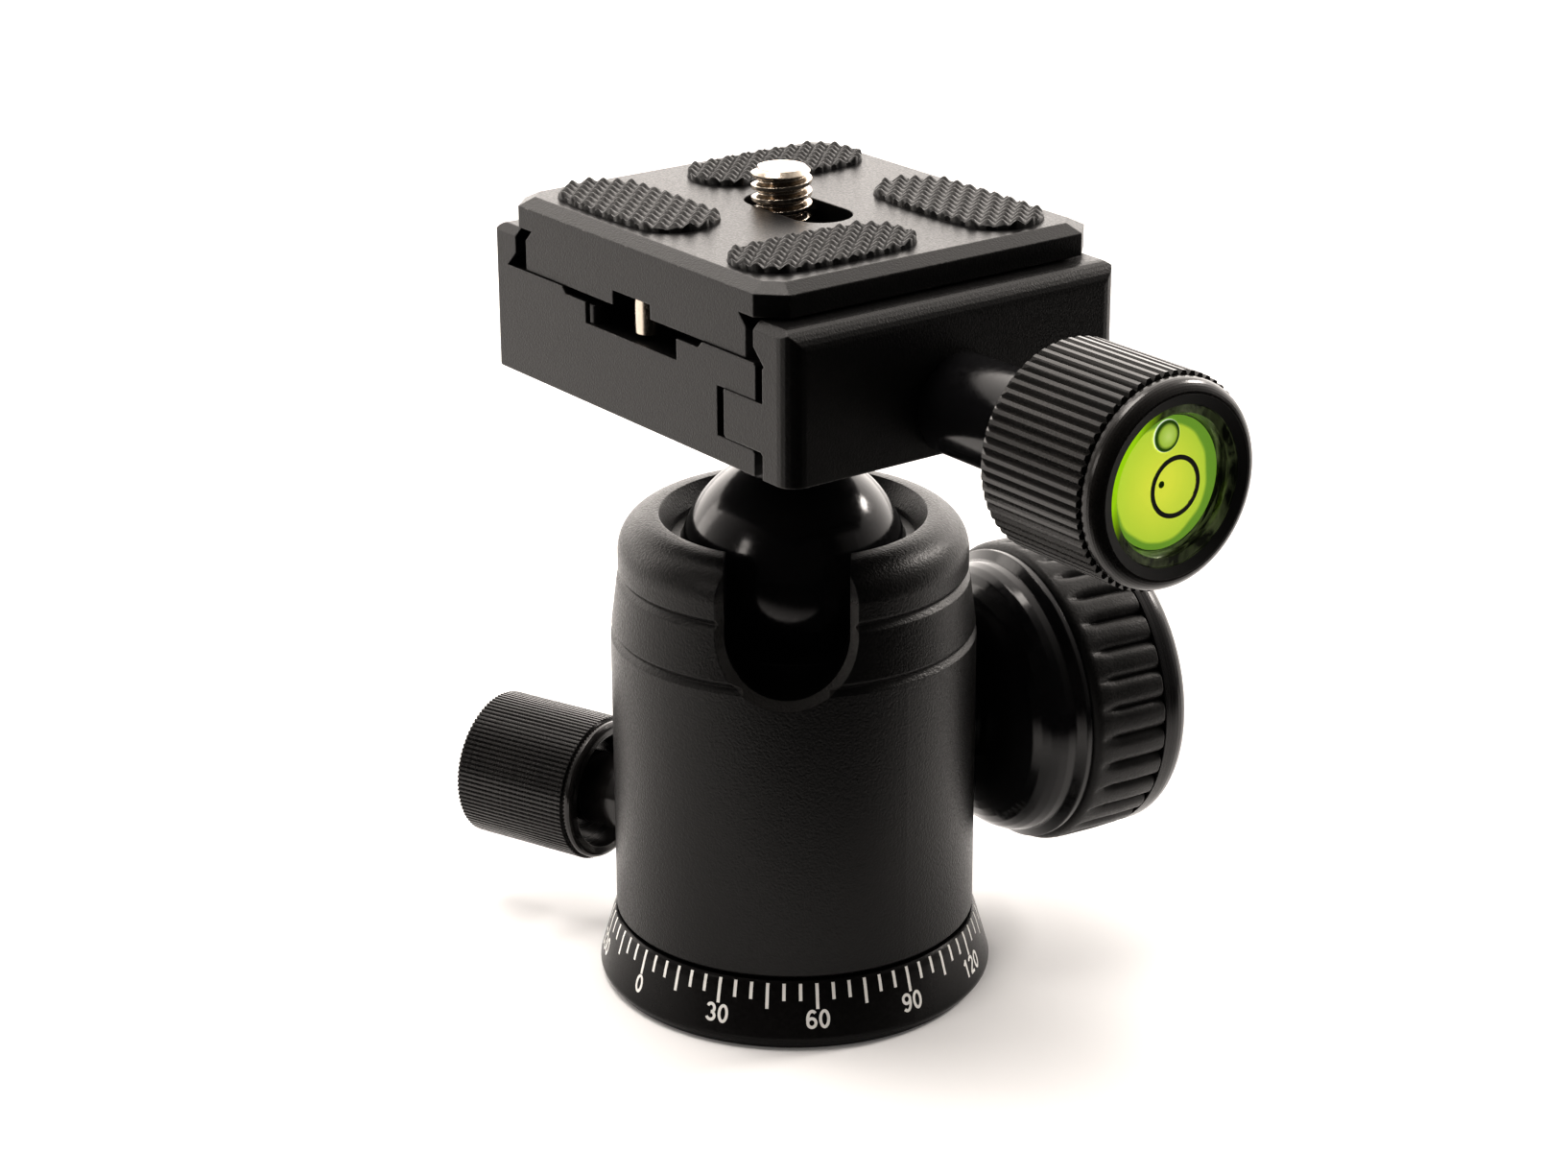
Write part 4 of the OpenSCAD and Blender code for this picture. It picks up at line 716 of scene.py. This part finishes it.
class HEAD_OT_camera_screw(bpy.types.Operator):
    """Cuts the camera screw's thread"""

    bl_idname = "head.camera_screw"
    bl_label = "Camera screw"

    def execute(self, context):
        lo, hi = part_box("camera_screw")
        axis = upright_frame((lo[0] + hi[0]) / 2 / MM, (lo[1] + hi[1]) / 2 / MM)
        z0, z1 = lo[2] / MM, hi[2] / MM
        # Rows: head, shank, then a thread that a cone cuts off at each end.
        bore, rim, thick, shank, start = 0.4, 6.1, 1.9, 2.5, 82.4
        head = rounded([[bore, z0], [rim, z0], [rim, z0 + thick], [shank, z0 + thick], [shank, start - 0.1]], 0.25)
        n, pitch, crest, root = 72, 1.27, 3.14, 2.42
        t = np.linspace(start, z1, 150)[:, None]
        r = thread(t, pitch, n, root, crest, 2.0, 0.35)
        r = np.minimum(r, np.minimum(2.55 + (z1 - t) * 1.1, shank + (t - start)))
        radius = np.concatenate([np.repeat(head[:, :1], n, 1), r])
        along = np.concatenate([head[:, 1], t[:, 0]])
        rows = rings(axis, radius, along, n)
        nickel = bpy.data.materials["Nickel-plated steel"]
        skin("camera_screw_thread", "camera_screw", rows, like=["camera_screw"], material=nickel)
        return {"FINISHED"}


# ---------------------------------------------------------------- stage


def pose(side, up, back, where):
    """The matrix of an object from its three directions and its place."""
    return Matrix([[side[i], up[i], back[i], where[i]] for i in range(3)] + [[0, 0, 0, 1]])


class HEAD_OT_stage(bpy.types.Operator):
    """Sets up the floor, the lights and the camera"""

    bl_idname = "head.stage"
    bl_label = "Stage"

    def execute(self, context):
        s, scene = context.scene.head_stage, context.scene
        # A sheet of matt white acrylic, big enough to reach past every view.
        size = 4.0
        mesh = bpy.data.meshes.new("floor")
        mesh.from_pydata([(-size, -size, 0), (size, -size, 0), (size, size, 0), (-size, size, 0)], [], [(0, 1, 2, 3)])
        white, tree, shader = blank("Matt white backdrop", Base_Color=linear("fafafa"), Roughness=0.7,
                                    Emission_Color=linear("ffffff"), Emission_Strength=s.glow)
        # The sheet is lit from below. In front of the head a black card lies over it: the camera never sees the
        # card, but the head's front reflects it, which keeps the front dark.
        card_side, soft = (1.0118, -0.3141, 0.0), 0.03
        near = vector_calc(tree, "DOT_PRODUCT", place_on(tree), card_side)
        card = rise(tree, near, s.card - soft, s.card + soft)
        unseen = calc(tree, "SUBTRACT", 1.0, add(tree, "ShaderNodeLightPath").outputs["Is Camera Ray"])
        felt = add(tree, "ShaderNodeBsdfDiffuse", {"Color": linear("0a0a0a")})
        cover = add(tree, "ShaderNodeMixShader", {0: calc(tree, "MULTIPLY", card, unseen), 1: shader.outputs[0],
                                                  2: felt.outputs[0]})
        tree.links.new(cover.outputs[0], first(tree, "OUTPUT_MATERIAL").inputs["Surface"])
        mesh.materials.append(white)
        floor = put("floor", mesh)
        # The room is a white cyclorama behind the object that falls off into a dark hall in front of it.
        # The camera itself sees it plain white.
        world = bpy.data.worlds.new("studio")
        scene.world = world
        world.use_nodes = True
        tree = world.node_tree
        plain = tree.nodes["Background"]
        plain.inputs["Color"].default_value = (1, 1, 1, 1)
        warm, behind = linear("fff8f2"), (-0.8035, 0.5953, 0.0)
        direction = add(tree, "ShaderNodeTexCoord").outputs["Generated"]
        # Strength: low + high ((1 + facing) / 2)^power, where facing is 1 straight behind the object.
        facing = calc(tree, "MULTIPLY_ADD", vector_calc(tree, "DOT_PRODUCT", direction, behind), 0.5, 0.5)
        strength = calc(tree, "MULTIPLY_ADD", calc(tree, "POWER", facing, s.room_power), s.room_high, s.room_low)
        room = add(tree, "ShaderNodeBackground", {"Color": warm, "Strength": strength})
        seen = add(tree, "ShaderNodeLightPath").outputs["Is Camera Ray"]
        mix = add(tree, "ShaderNodeMixShader", {0: seen, 1: room.outputs[0], 2: plain.outputs[0]})
        tree.links.new(mix.outputs[0], first(tree, "OUTPUT_WORLD").inputs["Surface"])
        # Each softbox has a power, a place and a point that it faces, in m, and a width and height.
        for name, power, where, target, width, height in (
            ("top", s.top, (-0.2, -0.1, 0.85), (0, 0, 0.05), 0.4, 0.4),
            ("left", s.left, (-0.75, -0.35, 0.3), (0, 0, 0.05), 0.25, 0.6),
            ("right", s.right, (0.12, 0.83, 0.6), (0, 0, 0.06), 0.2, 0.2),
            ("fill", s.fill, (-0.03, -0.73, 0.35), (0, 0, 0.05), 0.12, 0.25),
        ):
            light = bpy.data.lights.new(name, "AREA")
            light.shape, light.size, light.size_y, light.energy = "RECTANGLE", width, height, power
            light.color = warm[:3]
            back = np.array(where) - np.array(target)
            back /= np.linalg.norm(back)
            side = np.cross([0, 0, 1], back)
            side /= np.linalg.norm(side)
            put(name, light, pose(side, np.cross(back, side), back, where))
        camera = bpy.data.cameras.new("camera")
        camera.lens, camera.sensor_width, camera.clip_start, camera.clip_end = s.focal_length, 36, 0.01, 20
        yaw, pitch, roll = radians(53.464), radians(21.057), radians(-0.277)
        where = np.array([275.451, -205.333, 176.181]) * MM
        back = np.array([np.sin(yaw) * np.cos(pitch), -np.cos(yaw) * np.cos(pitch), np.sin(pitch)])
        right = np.array([np.cos(yaw), np.sin(yaw), 0])
        up = np.cross(back, right)
        # The roll turns the picture about the line of sight.
        turned = right * np.cos(roll) + up * np.sin(roll), up * np.cos(roll) - right * np.sin(roll)
        scene.camera = put("camera", camera, pose(*turned, back, where))
        scene.view_settings.view_transform = "Standard"
        # A studio print has deep blacks.
        scene.view_settings.look = "Medium High Contrast"
        return {"FINISHED"}


# ---------------------------------------------------------------- add-on


STEPS = (HEAD_OT_metalwork, HEAD_OT_pads, HEAD_OT_lock_grip, HEAD_OT_tripod_insert, HEAD_OT_dial, HEAD_OT_level,
         HEAD_OT_camera_screw, HEAD_OT_stage)


class HEAD_PT_panel(bpy.types.Panel):
    """Lists the steps that dress the head"""

    bl_label = "Ball Head"
    bl_idname = "HEAD_PT_panel"
    bl_space_type = "VIEW_3D"
    bl_region_type = "UI"
    bl_category = "Ball Head"

    def draw(self, context):
        for step in STEPS:
            self.layout.operator(step.bl_idname)
        for group in GROUPS:
            settings = getattr(context.scene, group)
            box = self.layout.box()
            for key in settings.__annotations__:
                box.prop(settings, key)


GROUPS = {"head_finishes": Finishes, "head_grip": GripSettings, "head_dial": DialSettings, "head_stage": StageSettings}


def register():
    for cls in (*GROUPS.values(), *STEPS, HEAD_PT_panel):
        bpy.utils.register_class(cls)
    for name, cls in GROUPS.items():
        setattr(bpy.types.Scene, name, PointerProperty(type=cls))


def unregister():
    for name in GROUPS:
        delattr(bpy.types.Scene, name)
    for cls in reversed((*GROUPS.values(), *STEPS, HEAD_PT_panel)):
        bpy.utils.unregister_class(cls)


def main():
    register()
    for step in STEPS:
        group, name = step.bl_idname.split(".")
        getattr(getattr(bpy.ops, group), name)()


if __name__ == "__main__":
    main()
